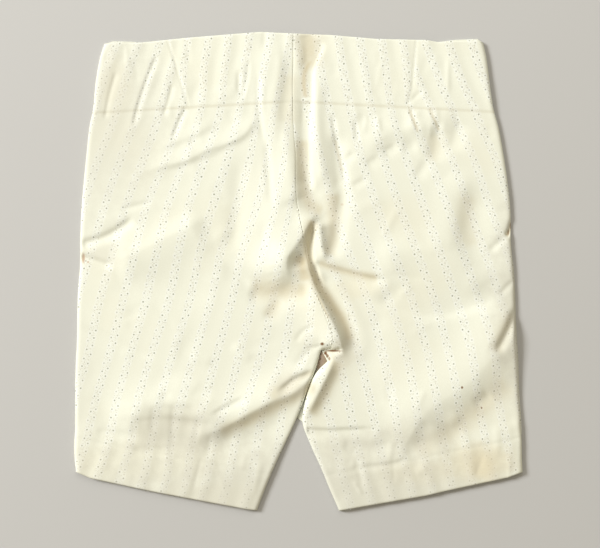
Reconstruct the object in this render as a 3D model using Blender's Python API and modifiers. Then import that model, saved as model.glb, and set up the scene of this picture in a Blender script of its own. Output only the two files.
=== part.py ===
"""Boy's knee breeches, laid flat with the back up.

The garment lies on the plane z = 0 with its waist toward +Y and its right-hand
side, as seen from above, toward +X. The lower layer is the two front panels.
The upper layer is the two back panels, which meet at the centre back seam.
A facing lies inside the back of the waist and a band lies inside each hem.
Sizes in the tables are millimetres, measured from the middle of the garment.
"""

from collections import namedtuple

import bpy
import numpy as np

MM = 0.001

# Driving sizes, in millimetres
CLOTH = 1.0
GAP = 0.3
LOFT = 1.1
EDGE_ROLL = 5.5
RIM_HEIGHT = 2.3
SEAM_FLAT = 1.2
WAIST_FACING_DEPTH = 50.0
HEM_FACING_DEPTH = 26.0
FACING_INSET = 6.5
FACING_EDGE = 1.0
HEM_RAMP = 9.0
BOW_REACH = 45.0
FRONT_SIDE_PEEK = 0.8
FRONT_PEEK_TOP = 10.0
FRONT_PEEK_BOTTOM = -124.0
FRONT_PEEK_FADE = 6.0
FLOOR_CLEARANCE = 0.1
FOLD_END_SHARE = 0.25

# Steps of the grids, in millimetres, and numbers of columns
ROW_STEP = 7.4
FLAT_ROW_STEP = 30.0
SIDE_COLUMNS = (0.0, 0.6, 2.2, EDGE_ROLL)
INNER_COLUMNS = (13.0, 9.0, EDGE_ROLL, 3.2, SEAM_FLAT, 0.0)
MIDDLE_COLUMNS = 18
FLAT_COLUMNS = 12
FLAT_COLUMN_POWER = 1.4
TURN_POINTS = 3

# Heights of the layers above the surface that the garment lies on
FRONT_TOP = CLOTH
LOWER_FACING = FRONT_TOP + GAP
UPPER_FACING = LOWER_FACING + CLOTH + GAP
WAIST_UNDERSIDE = UPPER_FACING
HEM_UNDERSIDE = UPPER_FACING + CLOTH + GAP
BODY_FLOOR = FRONT_TOP + GAP
BODY_UNDERSIDE = BODY_FLOOR + LOFT

# A section runs across one half of the garment, from the side seam to the
# centre seam above the crotch and to the inseam below it.
Section = namedtuple("Section", "side_x side_y inner_x inner_y")

LEFT_HALF = (
    Section(-145.0, 168.9, -3.9, 177.5),
    Section(-148.6, 157.5, -4.1, 158.0),
    Section(-151.6, 140.0, -4.5, 139.0),
    Section(-153.3, 121.5, -4.3, 121.0),
    Section(-156.0, 108.0, -3.6, 106.0),
    Section(-158.2, 88.0, -2.2, 88.0),
    Section(-160.2, 68.0, -2.1, 66.0),
    Section(-162.0, 46.0, -0.6, 48.0),
    Section(-162.8, 25.0, 3.7, 26.5),
    Section(-163.0, 5.0, 7.8, 4.8),
    Section(-164.5, -14.0, 13.6, -16.0),
    Section(-165.1, -32.0, 19.8, -34.0),
    Section(-165.3, -48.0, 24.6, -49.0),
    Section(-165.6, -56.0, 24.2, -57.5),
    Section(-165.8, -60.0, 16.8, -59.0),
    Section(-166.3, -70.0, 12.8, -73.0),
    Section(-166.6, -84.0, 7.1, -88.0),
    Section(-166.6, -96.0, 2.9, -99.5),
    Section(-166.6, -105.0, -2.0, -111.0),
    Section(-166.7, -117.5, -10.1, -128.6),
    Section(-167.3, -127.0, -18.3, -146.5),
    Section(-167.2, -139.0, -24.8, -162.0),
    Section(-166.0, -149.5, -30.9, -178.3),
)

RIGHT_HALF = (
    Section(138.0, 169.6, -3.9, 177.5),
    Section(140.6, 157.5, -4.1, 158.0),
    Section(142.8, 140.0, -4.5, 139.0),
    Section(145.6, 121.5, -4.3, 121.0),
    Section(149.2, 108.0, -3.6, 106.0),
    Section(152.9, 88.0, -2.2, 88.0),
    Section(155.9, 68.0, -2.1, 66.0),
    Section(158.2, 46.0, -0.6, 48.0),
    Section(158.4, 25.0, 3.7, 26.5),
    Section(159.9, 5.0, 7.8, 4.8),
    Section(161.0, -14.0, 13.6, -16.0),
    Section(161.5, -32.0, 19.8, -34.0),
    Section(162.2, -48.0, 24.6, -49.0),
    Section(162.8, -56.0, 24.2, -57.5),
    Section(163.2, -60.0, 18.8, -59.3),
    Section(163.5, -68.0, 23.3, -67.0),
    Section(163.8, -79.0, 12.9, -75.5),
    Section(164.5, -96.0, 4.2, -99.5),
    Section(165.2, -105.0, 2.8, -111.0),
    Section(165.9, -117.5, 8.6, -128.6),
    Section(166.6, -127.0, 16.6, -146.5),
    Section(166.8, -139.0, 23.0, -162.0),
    Section(167.3, -149.5, 30.2, -178.5),
)

# Number of the first section below the crotch, and below the fork of the legs
CROTCH_ROW = 14
FORK_ROW = 18

# How far the front's waist edge stands past the back's, by the share of the way
# from the side to the centre: a little at the corners, and hidden from there on.
FRONT_WAIST_PAST_BACK = ((0.0, 1.0), (0.15, 1.0), (0.5, -4.0), (1.0, -4.0))

# The front's centre seam, hidden under the back, from the waist to the crotch
FRONT_SEAM = ((-3.9, 177.5), (-3.9, 50.0), (9.0, -16.0), (16.8, -59.0))

# The waist and hem edges bow away from a straight line. Each entry is the share
# of the way from the side to the inner edge, and the rise there.
WAIST_BOW = {
    "left": (
        (0.0, 0.0), (0.05, 1.7), (0.18, 0.0), (0.43, 1.5),
        (0.69, 2.3), (0.83, 2.6), (0.94, 0.9), (1.0, 0.0),
    ),
    "right": (
        (0.0, 0.0), (0.03, 2.8), (0.18, 0.8), (0.24, -0.4),
        (0.3, 0.6), (0.56, -0.6), (0.81, 0.4), (1.0, 0.0),
    ),
}
HEM_BOW = {
    "left": ((0.0, 0.0), (0.08, -2.3), (0.41, -2.4), (0.67, -1.6), (0.94, -0.6), (1.0, 0.0)),
    "right": ((0.0, 0.0), (0.08, -1.8), (0.4, -2.0), (0.53, -2.4), (0.79, -1.0), (1.0, 0.0)),
}

# A fold is a bell-shaped ridge, or a trough where its height is negative, along
# a path. Its two widths are those on the left and right of the path's direction.
Fold = namedtuple("Fold", "height left right path")

LARGE_FOLDS = {
    "seat_bulge": Fold(
        4.8, 9.0, 15.0,
        ((-5.0, 78.0), (-6.0, 50.0), (-8.0, 30.0), (-2.0, 8.0), (8.0, -12.0)),
    ),
    "seam_ridge": Fold(
        4.6, 7.0, 14.0,
        (
            (0.0, 10.0), (13.6, -14.0), (20.2, -24.0), (31.0, -50.0),
            (32.5, -57.5), (27.0, -67.0), (21.0, -80.0), (15.0, -93.0),
        ),
    ),
    "leg_trough": Fold(
        -1.1, 12.0, 10.0,
        ((22.0, 10.0), (38.0, -12.0), (51.0, -34.0), (55.0, -58.0), (38.0, -86.0)),
    ),
    "right_inseam_ridge": Fold(
        1.8, 6.0, 5.0,
        ((26.0, -68.0), (21.0, -80.0), (15.0, -93.0), (11.0, -100.0), (6.0, -107.0)),
    ),
    "crotch_to_left_leg": Fold(
        4.2, 9.0, 17.0,
        ((22.0, -54.0), (2.0, -68.0), (-14.0, -82.0), (-34.0, -97.0), (-50.0, -105.0)),
    ),
    "left_leg_trough": Fold(
        -1.1, 12.0, 10.0,
        ((-4.0, -98.0), (-22.0, -106.0), (-46.0, -119.0), (-76.0, -126.0)),
    ),
    "left_knee_ridge": Fold(
        2.0, 14.0, 12.0,
        ((-50.0, -104.0), (-80.0, -99.0), (-104.0, -96.0), (-140.0, -113.0)),
    ),
    "right_knee_ridge": Fold(
        3.2, 12.0, 16.0,
        ((157.0, -30.0), (143.0, -58.0), (117.0, -85.0), (92.0, -103.0), (74.0, -112.0)),
    ),
    "right_knee_trough": Fold(
        -1.1, 12.0, 12.0,
        ((162.0, -76.0), (140.0, -96.0), (118.0, -114.0), (100.0, -130.0)),
    ),
    "waist_centre_ridge": Fold(
        1.2, 8.0, 12.0,
        ((-17.0, 170.0), (-18.0, 122.0), (-11.0, 92.0), (-5.0, 60.0)),
    ),
    "waist_centre_trough": Fold(
        -0.9, 8.0, 8.0,
        ((16.0, 168.0), (6.0, 140.0), (5.0, 100.0), (8.0, 70.0), (18.0, 48.0)),
    ),
    "seat_right_ridge": Fold(
        1.3, 6.0, 6.0,
        ((10.0, 150.0), (12.0, 110.0), (16.0, 78.0), (22.0, 56.0)),
    ),
    "seat_right_trough": Fold(
        -1.0, 9.0, 9.0,
        ((42.0, 118.0), (34.0, 92.0), (31.0, 66.0), (32.0, 34.0)),
    ),
    "left_hip_ridge": Fold(
        1.6, 13.0, 9.0,
        ((-80.0, 35.0), (-104.0, 24.0), (-128.0, 11.0)),
    ),
    "left_hip_trough": Fold(
        -0.9, 12.0, 12.0,
        ((-140.0, 4.0), (-96.0, -3.0), (-62.0, -22.0)),
    ),
    "left_waist_trough": Fold(
        -0.8, 12.0, 10.0,
        ((-70.0, 88.0), (-104.0, 76.0), (-142.0, 68.0)),
    ),
    "right_waist_ridge": Fold(
        1.3, 10.0, 10.0,
        ((58.0, 94.0), (78.0, 104.0), (98.0, 116.0)),
    ),
    "right_hip_trough": Fold(
        -0.8, 14.0, 12.0,
        ((92.0, 82.0), (112.0, 92.0), (134.0, 98.0)),
    ),
    "right_hip_ridge": Fold(
        1.4, 10.0, 14.0,
        ((116.0, 64.0), (110.0, 38.0), (84.0, 14.0), (62.0, 12.0)),
    ),
    "right_thigh_trough": Fold(
        -0.9, 14.0, 12.0,
        ((66.0, -24.0), (100.0, -32.0), (130.0, -26.0)),
    ),
}

CLOTH_COLOR = (0.88, 0.86, 0.74, 1.0)
FACING_COLOR = (0.86, 0.82, 0.68, 1.0)
CLOTH_ROUGHNESS = 0.85


def clear_scene():
    """Remove every object, so that the script always builds the same file."""
    for obj in list(bpy.data.objects):
        bpy.data.objects.remove(obj, do_unlink=True)


def smooth_step(value):
    """Go from 0 to 1 with level ends as the value goes from 0 to 1."""
    share = np.clip(value, 0.0, 1.0)
    return share * share * (3.0 - 2.0 * share)


def smooth_max(first, second, softness=0.5):
    """The larger of two heights, with the corner between them rounded."""
    return 0.5 * (first + second + np.sqrt((first - second) ** 2 + softness ** 2))


def path_distance(x, y, path):
    """Distance to a path, the side of it (+1 is left) and the share along it."""
    points = np.asarray(path, dtype=float)
    lengths = np.hypot(*np.diff(points, axis=0).T)
    starts = np.concatenate([[0.0], np.cumsum(lengths)])
    best = np.full(np.shape(x), np.inf)
    side = np.ones(np.shape(x))
    share = np.zeros(np.shape(x))
    for index, length in enumerate(lengths):
        (ax, ay), (bx, by) = points[index], points[index + 1]
        step_x, step_y = (bx - ax) / length, (by - ay) / length
        along = np.clip((x - ax) * step_x + (y - ay) * step_y, 0.0, length)
        off_x = x - ax - along * step_x
        off_y = y - ay - along * step_y
        distance = np.hypot(off_x, off_y)
        nearer = distance < best
        best = np.where(nearer, distance, best)
        side = np.where(nearer, np.sign(step_x * off_y - step_y * off_x), side)
        share = np.where(nearer, (starts[index] + along) / starts[-1], share)
    return best, side, share


def fold_height(fold, x, y):
    """A bell across the fold's path that fades out toward both ends."""
    distance, side, share = path_distance(x, y, fold.path)
    width = np.where(side > 0.0, fold.left, fold.right)
    ends = smooth_step(share / FOLD_END_SHARE) * smooth_step((1.0 - share) / FOLD_END_SHARE)
    return fold.height * ends * np.exp(-(distance / width) ** 2)


def folds_at(x, y):
    """Sum of all the large folds at each point."""
    return sum(fold_height(fold, x, y) for fold in LARGE_FOLDS.values())


def section_rows(sections, step):
    """The section table with rows between, so that none are further apart than the step."""
    rows = [np.array(sections[0])]
    for upper, lower in zip(sections, sections[1:]):
        start = np.array(upper)
        change = np.array(lower) - start
        length = max(np.hypot(change[0], change[1]), np.hypot(change[2], change[3]))
        count = max(1, round(length / step))
        rows += [start + change * number / count for number in range(1, count + 1)]
    return np.array(rows)


def column_distances(width, middle):
    """Distances from the side edge: close together at both edges, even between."""
    inner = [width - distance for distance in INNER_COLUMNS]
    side = [np.full_like(width, distance) for distance in SIDE_COLUMNS]
    between = np.linspace(side[-1], inner[0], middle + 2)[1:-1]
    return np.concatenate([side, between, inner]).T


def bowed(rows, share, half, waist_bow):
    """Points of a half on straight sections, with the bow of its waist and hem."""
    x = rows[:, 0:1] + (rows[:, 2:3] - rows[:, 0:1]) * share
    y = rows[:, 1:2] + (rows[:, 3:4] - rows[:, 1:2]) * share
    waist = rows[0, 1] + (rows[0, 3] - rows[0, 1]) * share - y
    hem = y - (rows[-1, 1] + (rows[-1, 3] - rows[-1, 1]) * share)
    waist_rise = np.interp(share, *np.array(waist_bow).T)
    hem_rise = np.interp(share, *np.array(HEM_BOW[half]).T)
    y = y + waist_rise * smooth_step(1.0 - waist / BOW_REACH)
    y = y + hem_rise * smooth_step(1.0 - hem / BOW_REACH)
    return x, y, waist, hem


def upper_layer_top(x, y, waist, hem):
    """Height of the back's upper face, from the layers under it and the folds."""
    in_waist = smooth_step(1.0 - (waist - WAIST_FACING_DEPTH) / HEM_RAMP)
    in_hem = smooth_step(1.0 - (hem - HEM_FACING_DEPTH) / HEM_RAMP)
    rest = BODY_UNDERSIDE + (WAIST_UNDERSIDE - BODY_UNDERSIDE) * in_waist
    rest = rest + (HEM_UNDERSIDE - BODY_UNDERSIDE) * in_hem
    floor = BODY_FLOOR + (WAIST_UNDERSIDE - BODY_FLOOR) * in_waist
    floor = floor + (HEM_UNDERSIDE - BODY_FLOOR) * in_hem
    return np.maximum(smooth_max(rest + folds_at(x, y), floor + FLOOR_CLEARANCE), floor) + CLOTH


def grid_mesh(name, x, y, z, face_up=True, closed=False):
    """A mesh of quads over a grid of points in millimetres, closed into a tube if asked."""
    points = np.stack([x, y, z], axis=-1).reshape(-1, 3) * MM
    corner = np.arange(x.size).reshape(x.shape)
    if closed:
        corner = np.hstack([corner, corner[:, :1]])
    quads = np.stack([corner[:-1, :-1], corner[1:, :-1], corner[1:, 1:], corner[:-1, 1:]], axis=-1)
    quads = quads.reshape(-1, 4)
    first = points[quads[0]]
    faces_up = np.cross(first[1] - first[0], first[2] - first[0])[2] > 0.0
    if faces_up != face_up:
        quads = quads[:, ::-1]
    mesh = bpy.data.meshes.new(name)
    mesh.from_pydata(points.tolist(), [], quads.tolist())
    mesh.update()
    return mesh


def cloth_material(name, color):
    """A matt cotton material."""
    material = bpy.data.materials.new(name)
    material.use_nodes = True
    shader = material.node_tree.nodes["Principled BSDF"]
    shader.inputs["Base Color"].default_value = color
    shader.inputs["Roughness"].default_value = CLOTH_ROUGHNESS
    shader.inputs["Metallic"].default_value = 0.0
    return material


def add_cloth(name, mesh, color, collection, parent):
    """A cloth piece: an open surface with a wall behind it."""
    mesh.materials.append(cloth_material(name, color))
    obj = bpy.data.objects.new(name, mesh)
    collection.objects.link(obj)
    obj.parent = parent
    wall = obj.modifiers.new("Wall", "SOLIDIFY")
    wall.thickness = CLOTH * MM
    wall.offset = -1.0
    wall.use_even_offset = False
    return obj


def back_panel(half, sections):
    """One half of the back, with its folds and its rolled outer edges."""
    rows = section_rows(sections, ROW_STEP)
    rows[:, 2] += toward_side(sections) * GAP / 2.0
    width = np.hypot(rows[:, 2] - rows[:, 0], rows[:, 3] - rows[:, 1])
    share = column_distances(width, MIDDLE_COLUMNS) / width[:, None]
    x, y, waist, hem = bowed(rows, share, half, WAIST_BOW[half])
    top = upper_layer_top(x, y, waist, hem)

    on_seam = rows[:, 3] >= sections[CROTCH_ROW - 1].inner_y
    leg_opening = rows[np.flatnonzero(on_seam)[-1]:, 2:4]
    to_side = path_distance(x, y, rows[:, 0:2])[0]
    to_inseam = path_distance(x, y, leg_opening)[0]
    away = 1.0 - np.clip(np.minimum(to_side, to_inseam) / EDGE_ROLL, 0.0, 1.0)
    z = RIM_HEIGHT + (top - RIM_HEIGHT) * np.sqrt(1.0 - away ** 2)
    z[on_seam, -2] = z[on_seam, -1]
    return x, y, z


def toward_side(sections):
    """Direction along X from the centre seam to the side of this half."""
    return np.sign(sections[0].side_x - sections[0].inner_x)


def front_panel(half, sections):
    """One half of the front, flat, a hair wider than the back where the photo shows it."""
    rows = section_rows(front_sections(sections), FLAT_ROW_STEP)
    rows[:, 2] += toward_side(sections) * GAP / 2.0
    if half == "right":
        shown = smooth_step((FRONT_PEEK_TOP - rows[:, 1]) / FRONT_PEEK_FADE)
        shown = shown * smooth_step((rows[:, 1] - FRONT_PEEK_BOTTOM) / FRONT_PEEK_FADE)
        rows[:, 0] += FRONT_SIDE_PEEK * shown
    share = np.linspace(0.0, 1.0, FLAT_COLUMNS)[None, :] ** FLAT_COLUMN_POWER
    share = np.repeat(share, len(rows), axis=0)
    past_back = np.interp(share[0], *np.array(FRONT_WAIST_PAST_BACK).T)
    back_bow = np.interp(share[0], *np.array(WAIST_BOW[half]).T)
    bow = np.stack([share[0], back_bow + past_back], axis=-1)
    x, y, _, _ = bowed(rows, share, half, bow)
    return x, y, np.full_like(x, FRONT_TOP)


def front_sections(sections):
    """Sections of a front: its own centre seam, and the left inseam down to the fork."""
    seam_x, seam_y = np.array(FRONT_SEAM).T
    result = []
    for number, section in enumerate(sections):
        inner_x, inner_y = section.inner_x, section.inner_y
        if number < CROTCH_ROW:
            inner_x = float(np.interp(-inner_y, -seam_y, seam_x))
        elif number < FORK_ROW:
            inner_x, inner_y = LEFT_HALF[number].inner_x, LEFT_HALF[number].inner_y
        result.append(Section(section.side_x, section.side_y, inner_x, inner_y))
    return result


def bowed_edge(rows, share, half):
    """Points of the waist edge of one half."""
    x, y, _, _ = bowed(rows[:1], share, half, WAIST_BOW[half])
    return x[0], y[0]


def waist_outline():
    """Points of the back's waist edge from the left side to the right."""
    share = np.linspace(0.0, 1.0, FLAT_COLUMNS)[None, :]
    left_rows = section_rows(LEFT_HALF, ROW_STEP)
    right_rows = section_rows(RIGHT_HALF, ROW_STEP)
    left_x, left_y = bowed_edge(left_rows, share, "left")
    right_x, right_y = bowed_edge(right_rows, share, "right")
    x = np.concatenate([left_x, right_x[-2::-1]])
    y = np.concatenate([left_y, right_y[-2::-1]])
    return x, y


def edge_x(sections, column, y):
    """X of a side edge or an inseam at a height y on the garment."""
    table = np.array(sections)
    return np.interp(-y, -table[:, column + 1], table[:, column])


def waist_facing():
    """A flat strip inside the back of the waist, clear of both side edges."""
    outline_x, outline_y = waist_outline()
    depth = np.array([FACING_EDGE, WAIST_FACING_DEPTH / 2.0, WAIST_FACING_DEPTH])[:, None]
    left = edge_x(LEFT_HALF, 0, outline_y[0] - depth) + FACING_INSET
    right = edge_x(RIGHT_HALF, 0, outline_y[-1] - depth) - FACING_INSET
    share = np.linspace(0.0, 1.0, 2 * FLAT_COLUMNS)[None, :]
    x = left + (right - left) * share
    y = np.interp(x[0], outline_x, outline_y)[None, :] - depth
    return x, y, np.full_like(x, LOWER_FACING + CLOTH)


def hem_facing(half, sections):
    """A flattened tube inside a leg: two flat runs joined by half rounds at the sides."""
    last = sections[-1]
    depth = np.array([FACING_EDGE, HEM_FACING_DEPTH / 2.0, HEM_FACING_DEPTH])
    side_y = last.side_y + depth
    inner_y = last.inner_y + depth
    side_x = edge_x(sections, 0, side_y) - toward_side(sections) * FACING_INSET
    inner_x = edge_x(sections, 2, inner_y) + toward_side(sections) * FACING_INSET
    radius = (UPPER_FACING + CLOTH - LOWER_FACING) / 2.0
    run = np.linspace(0.0, 1.0, FLAT_COLUMNS)
    turn = np.linspace(-0.5, 0.5, TURN_POINTS + 2)[1:-1] * np.pi
    share = np.concatenate([run, np.ones(TURN_POINTS), run[::-1], np.zeros(TURN_POINTS)])
    level = np.zeros_like(run)
    bulge = np.concatenate([level, np.cos(turn), level, -np.cos(turn)]) * radius
    height = np.concatenate([level - 1.0, np.sin(turn), level + 1.0, -np.sin(turn)]) * radius
    length = np.abs(inner_x - side_x)[:, None]
    place = share[None, :] + bulge[None, :] / length
    x = side_x[:, None] + (inner_x - side_x)[:, None] * place
    y = side_y[:, None] + (inner_y - side_y)[:, None] * place
    y = y + np.interp(share, *np.array(HEM_BOW[half]).T)[None, :]
    z = np.repeat(height[None, :] + LOWER_FACING + radius, len(depth), axis=0)
    return x, y, z


def build():
    """Make the seven pieces in one collection."""
    clear_scene()
    collection = bpy.data.collections.new("knee_breeches")
    bpy.context.scene.collection.children.link(collection)
    parent = bpy.data.objects.new("knee_breeches_origin", None)
    collection.objects.link(parent)
    halves = {"left": LEFT_HALF, "right": RIGHT_HALF}

    for half, sections in halves.items():
        mesh = grid_mesh("back_" + half, *back_panel(half, sections))
        add_cloth("back_" + half, mesh, CLOTH_COLOR, collection, parent)
    for half, sections in halves.items():
        mesh = grid_mesh("front_" + half, *front_panel(half, sections))
        add_cloth("front_" + half, mesh, CLOTH_COLOR, collection, parent)
    for half, sections in halves.items():
        mesh = grid_mesh("hem_facing_" + half, *hem_facing(half, sections), face_up=False, closed=True)
        add_cloth("hem_facing_" + half, mesh, FACING_COLOR, collection, parent)
    mesh = grid_mesh("waist_facing", *waist_facing())
    add_cloth("waist_facing", mesh, FACING_COLOR, collection, parent)


build()
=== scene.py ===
# %% [markdown]
# # Boy's knee breeches, laid flat with the back up
#
# Knee breeches of striped cotton lie on a flat surface. We look straight down
# at the back. The lower layer is the two fronts, and the upper layer is the two
# backs. A facing lies inside the waist and a band lies inside each hem.
# The cloth could be simulated, but a simulation seldom gives the folds that one
# garment has. So each panel is a grid of points whose height is a formula.
# We name every fold in a table, and the formula adds them up.

import bpy
import numpy as np
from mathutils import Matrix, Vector


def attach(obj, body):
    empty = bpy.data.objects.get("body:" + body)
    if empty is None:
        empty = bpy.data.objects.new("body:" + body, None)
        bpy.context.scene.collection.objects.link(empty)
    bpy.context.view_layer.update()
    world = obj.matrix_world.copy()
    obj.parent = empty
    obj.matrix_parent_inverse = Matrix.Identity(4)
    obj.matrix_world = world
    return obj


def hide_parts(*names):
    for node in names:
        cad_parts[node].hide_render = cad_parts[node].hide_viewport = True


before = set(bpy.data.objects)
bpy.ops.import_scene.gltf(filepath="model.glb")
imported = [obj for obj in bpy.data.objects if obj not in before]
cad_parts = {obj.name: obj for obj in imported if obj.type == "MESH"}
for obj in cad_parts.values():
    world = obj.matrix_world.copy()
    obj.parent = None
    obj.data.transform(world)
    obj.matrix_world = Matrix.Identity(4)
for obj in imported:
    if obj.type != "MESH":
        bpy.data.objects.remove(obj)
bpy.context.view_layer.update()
MM = 0.001

# %% [markdown]
# ## Helpers for smooth shapes
#
# A few small functions do most of the shaping. They go smoothly from 0 to 1,
# round the corner where two heights meet, measure how far each point is from a
# drawn path, and pass a smooth curve through the rows of a short table. Curve
# objects could do some of it, but a formula works on a whole grid at once.

# %% Smooth steps, path distances and smooth tables
def smooth_step(value):
    """Go from 0 to 1 with level ends: 3 v squared less 2 v cubed."""
    share = np.clip(value, 0.0, 1.0)
    return share * share * (3.0 - 2.0 * share)


def smooth_max(first, second, softness=0.4):
    """The larger of two heights with a rounded corner: half of their sum plus the root
    of their difference squared and the softness squared."""
    return 0.5 * (first + second + np.sqrt((first - second) ** 2 + softness ** 2))


def path_distance(x, y, path):
    """Distance to the nearest straight piece of a path, the side of it (+1 is left) and
    the share along the path of the nearest place."""
    points = np.asarray(path, dtype=float)
    lengths = np.hypot(*np.diff(points, axis=0).T)
    starts = np.concatenate([[0.0], np.cumsum(lengths)])
    best = np.full(np.shape(x), np.inf)
    side = np.ones(np.shape(x))
    share = np.zeros(np.shape(x))
    for index, length in enumerate(lengths):
        (ax, ay), (bx, by) = points[index], points[index + 1]
        step_x, step_y = (bx - ax) / length, (by - ay) / length
        along = np.clip((x - ax) * step_x + (y - ay) * step_y, 0.0, length)
        off_x = x - ax - along * step_x
        off_y = y - ay - along * step_y
        distance = np.hypot(off_x, off_y)
        nearer = distance < best
        best = np.where(nearer, distance, best)
        side = np.where(nearer, np.sign(step_x * off_y - step_y * off_x), side)
        share = np.where(nearer, (starts[index] + along) / starts[-1], share)
    return best, side, share


def cubic_between(rows, place, at):
    """Cubic pieces through every row of a table, each row at its own place: a smooth step
    from row to row, plus each row's slope times a hump that is level at the other row."""
    slope = np.gradient(rows, place, axis=0)
    piece = np.clip(np.searchsorted(place, at, side="right") - 1, 0, len(place) - 2)
    length = (place[piece + 1] - place[piece])[:, None]
    share = ((at - place[piece])[:, None]) / length
    lift = share * share * (3.0 - 2.0 * share)
    leave = share * (1.0 - share) ** 2 * length
    arrive = share * share * (share - 1.0) * length
    return (rows[piece] * (1.0 - lift) + rows[piece + 1] * lift
            + slope[piece] * leave + slope[piece + 1] * arrive)


def rounded_path(path, step=3.0):
    """A short path with curves in place of its corners, in steps of a few millimetres."""
    points = np.asarray(path, dtype=float)
    if len(points) < 3:
        return points
    place = np.concatenate([[0.0], np.cumsum(np.hypot(*np.diff(points, axis=0).T))])
    at = np.linspace(0.0, place[-1], max(3, int(place[-1] / step)))
    return cubic_between(points, place, at)


print("half way up a smooth step:", smooth_step(0.5))

# %% [markdown]
# ## The outline of each half
#
# The garment has a left half and a right half, as seen here. Above the crotch
# they meet at the centre back seam, and below it each half is a leg. A section
# crosses one half from its side seam to its inner edge. The table lists the
# sections from the waist down to the hem, in millimetres from the middle.
# The CAD has the same sections, except that two beside the crotch differ by less
# than 2 mm. Straight lines join them there, and curves do here.

# %% Sections from the waist to the hem
# Columns: side seam x and y, then inner edge x and y
LEFT_HALF = (
    (-145, 168.9, -3.9, 177.5),
    (-148.6, 157.5, -4.1, 158),
    (-151.6, 140, -4.5, 139),
    (-153.3, 121.5, -4.3, 121),
    (-156, 108, -3.6, 106),
    (-158.2, 88, -2.2, 88),
    (-160.2, 68, -2.1, 66),
    (-162, 46, -0.6, 48),
    (-162.8, 25, 3.7, 26.5),
    (-163, 5, 7.8, 4.8),
    (-164.5, -14, 13.6, -16),
    (-165.1, -32, 19.8, -34),
    (-165.3, -48, 24.6, -49),
    (-165.6, -56, 24.2, -57.5),
    (-165.8, -60, 16.8, -59),
    (-166.3, -70, 12.8, -73),
    (-166.6, -84, 7.1, -88),
    (-166.6, -96, 2.9, -99.5),
    (-166.6, -105, -2, -111),
    (-166.7, -117.5, -10.1, -128.6),
    (-167.3, -127, -18.3, -146.5),
    (-167.2, -139, -24.8, -162),
    (-166, -149.5, -30.9, -178.3),
)
RIGHT_HALF = (
    (138, 169.6, -3.9, 177.5),
    (140.6, 157.5, -4.1, 158),
    (142.8, 140, -4.5, 139),
    (145.6, 121.5, -4.3, 121),
    (149.2, 108, -3.6, 106),
    (152.9, 88, -2.2, 88),
    (155.9, 68, -2.1, 66),
    (158.2, 46, -0.6, 48),
    (158.4, 25, 3.7, 26.5),
    (159.9, 5, 7.8, 4.8),
    (161, -14, 13.6, -16),
    (161.5, -32, 19.8, -34),
    (162.2, -48, 24.6, -49),
    (162.8, -56, 24.2, -57.5),
    (163.2, -60, 17.4, -59.3),
    (163.5, -68, 21.4, -67),
    (163.8, -79, 12.9, -75.5),
    (164.5, -96, 4.2, -99.5),
    (165.2, -105, 2.8, -111),
    (165.9, -117.5, 8.6, -128.6),
    (166.6, -127, 16.6, -146.5),
    (166.8, -139, 23, -162),
    (167.3, -149.5, 30.2, -178.5),
)
# Rows where the inner edge turns sharply, and the last row of the centre seam
CORNERS = {"left": (13, 14), "right": (13, 14, 15)}
CROTCH_ROW = 13

# How far the waist and the hem bow: a share of the way in from the side, and a rise
WAIST_BOW = {
    "left": (
        (0, 0), (0.05, 1.7), (0.18, 0), (0.43, 1.5),
        (0.69, 2.3), (0.83, 2.6), (0.94, 0.9), (1, 0),
    ),
    "right": (
        (0, 0), (0.03, 2.8), (0.18, 0.8), (0.24, -0.4),
        (0.3, 0.6), (0.56, -0.6), (0.81, 0.4), (1, 0),
    ),
}
HEM_BOW = {
    "left": ((0, 0), (0.08, -2.3), (0.41, -2.4), (0.67, -1.6), (0.94, -0.6), (1, 0)),
    "right": ((0, 0), (0.08, -1.8), (0.4, -2), (0.53, -2.4), (0.79, -1), (1, 0)),
}
BOW_REACH = 45.0
HALVES = {"left": LEFT_HALF, "right": RIGHT_HALF}
SIGN = {"left": -1.0, "right": 1.0}
print("sections in each half:", len(LEFT_HALF), "and", len(RIGHT_HALF))

# %% [markdown]
# ## Rows between the sections
#
# A panel needs far more rows than the table has. Straight pieces would show as
# facets along the edges, so cubic curves join the sections. They start afresh
# at each corner of the crotch, which keeps it sharp. The waist and the hem are
# cut in a slight bow, so the rows near them bend with it.

# %% Rows of a half
def section_lines(half, step, lips=(0.0,)):
    """The section table with smooth rows between, and close rows at both ends."""
    table = np.array(HALVES[half])
    change = np.diff(table, axis=0)
    length = np.maximum(np.hypot(change[:, 0], change[:, 1]), np.hypot(change[:, 2], change[:, 3]))
    place = np.concatenate([[0.0], np.cumsum(length)])
    stops = [0, *CORNERS[half], len(table) - 1]
    parts = []
    for first, last in zip(stops, stops[1:]):
        start, end = place[first], place[last]
        low = [start + lip for lip in lips] if first == 0 else [start]
        high = [end - lip for lip in reversed(lips)] if last == len(table) - 1 else [end]
        count = max(1, round((high[0] - low[-1]) / step))
        middle = np.linspace(low[-1], high[0], count + 1)
        at = np.concatenate([low[:-1], middle, high[1:]])
        at = at if last == len(table) - 1 else at[:-1]
        parts.append(cubic_between(table[first:last + 1], place[first:last + 1], at))
    return np.concatenate(parts)


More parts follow.
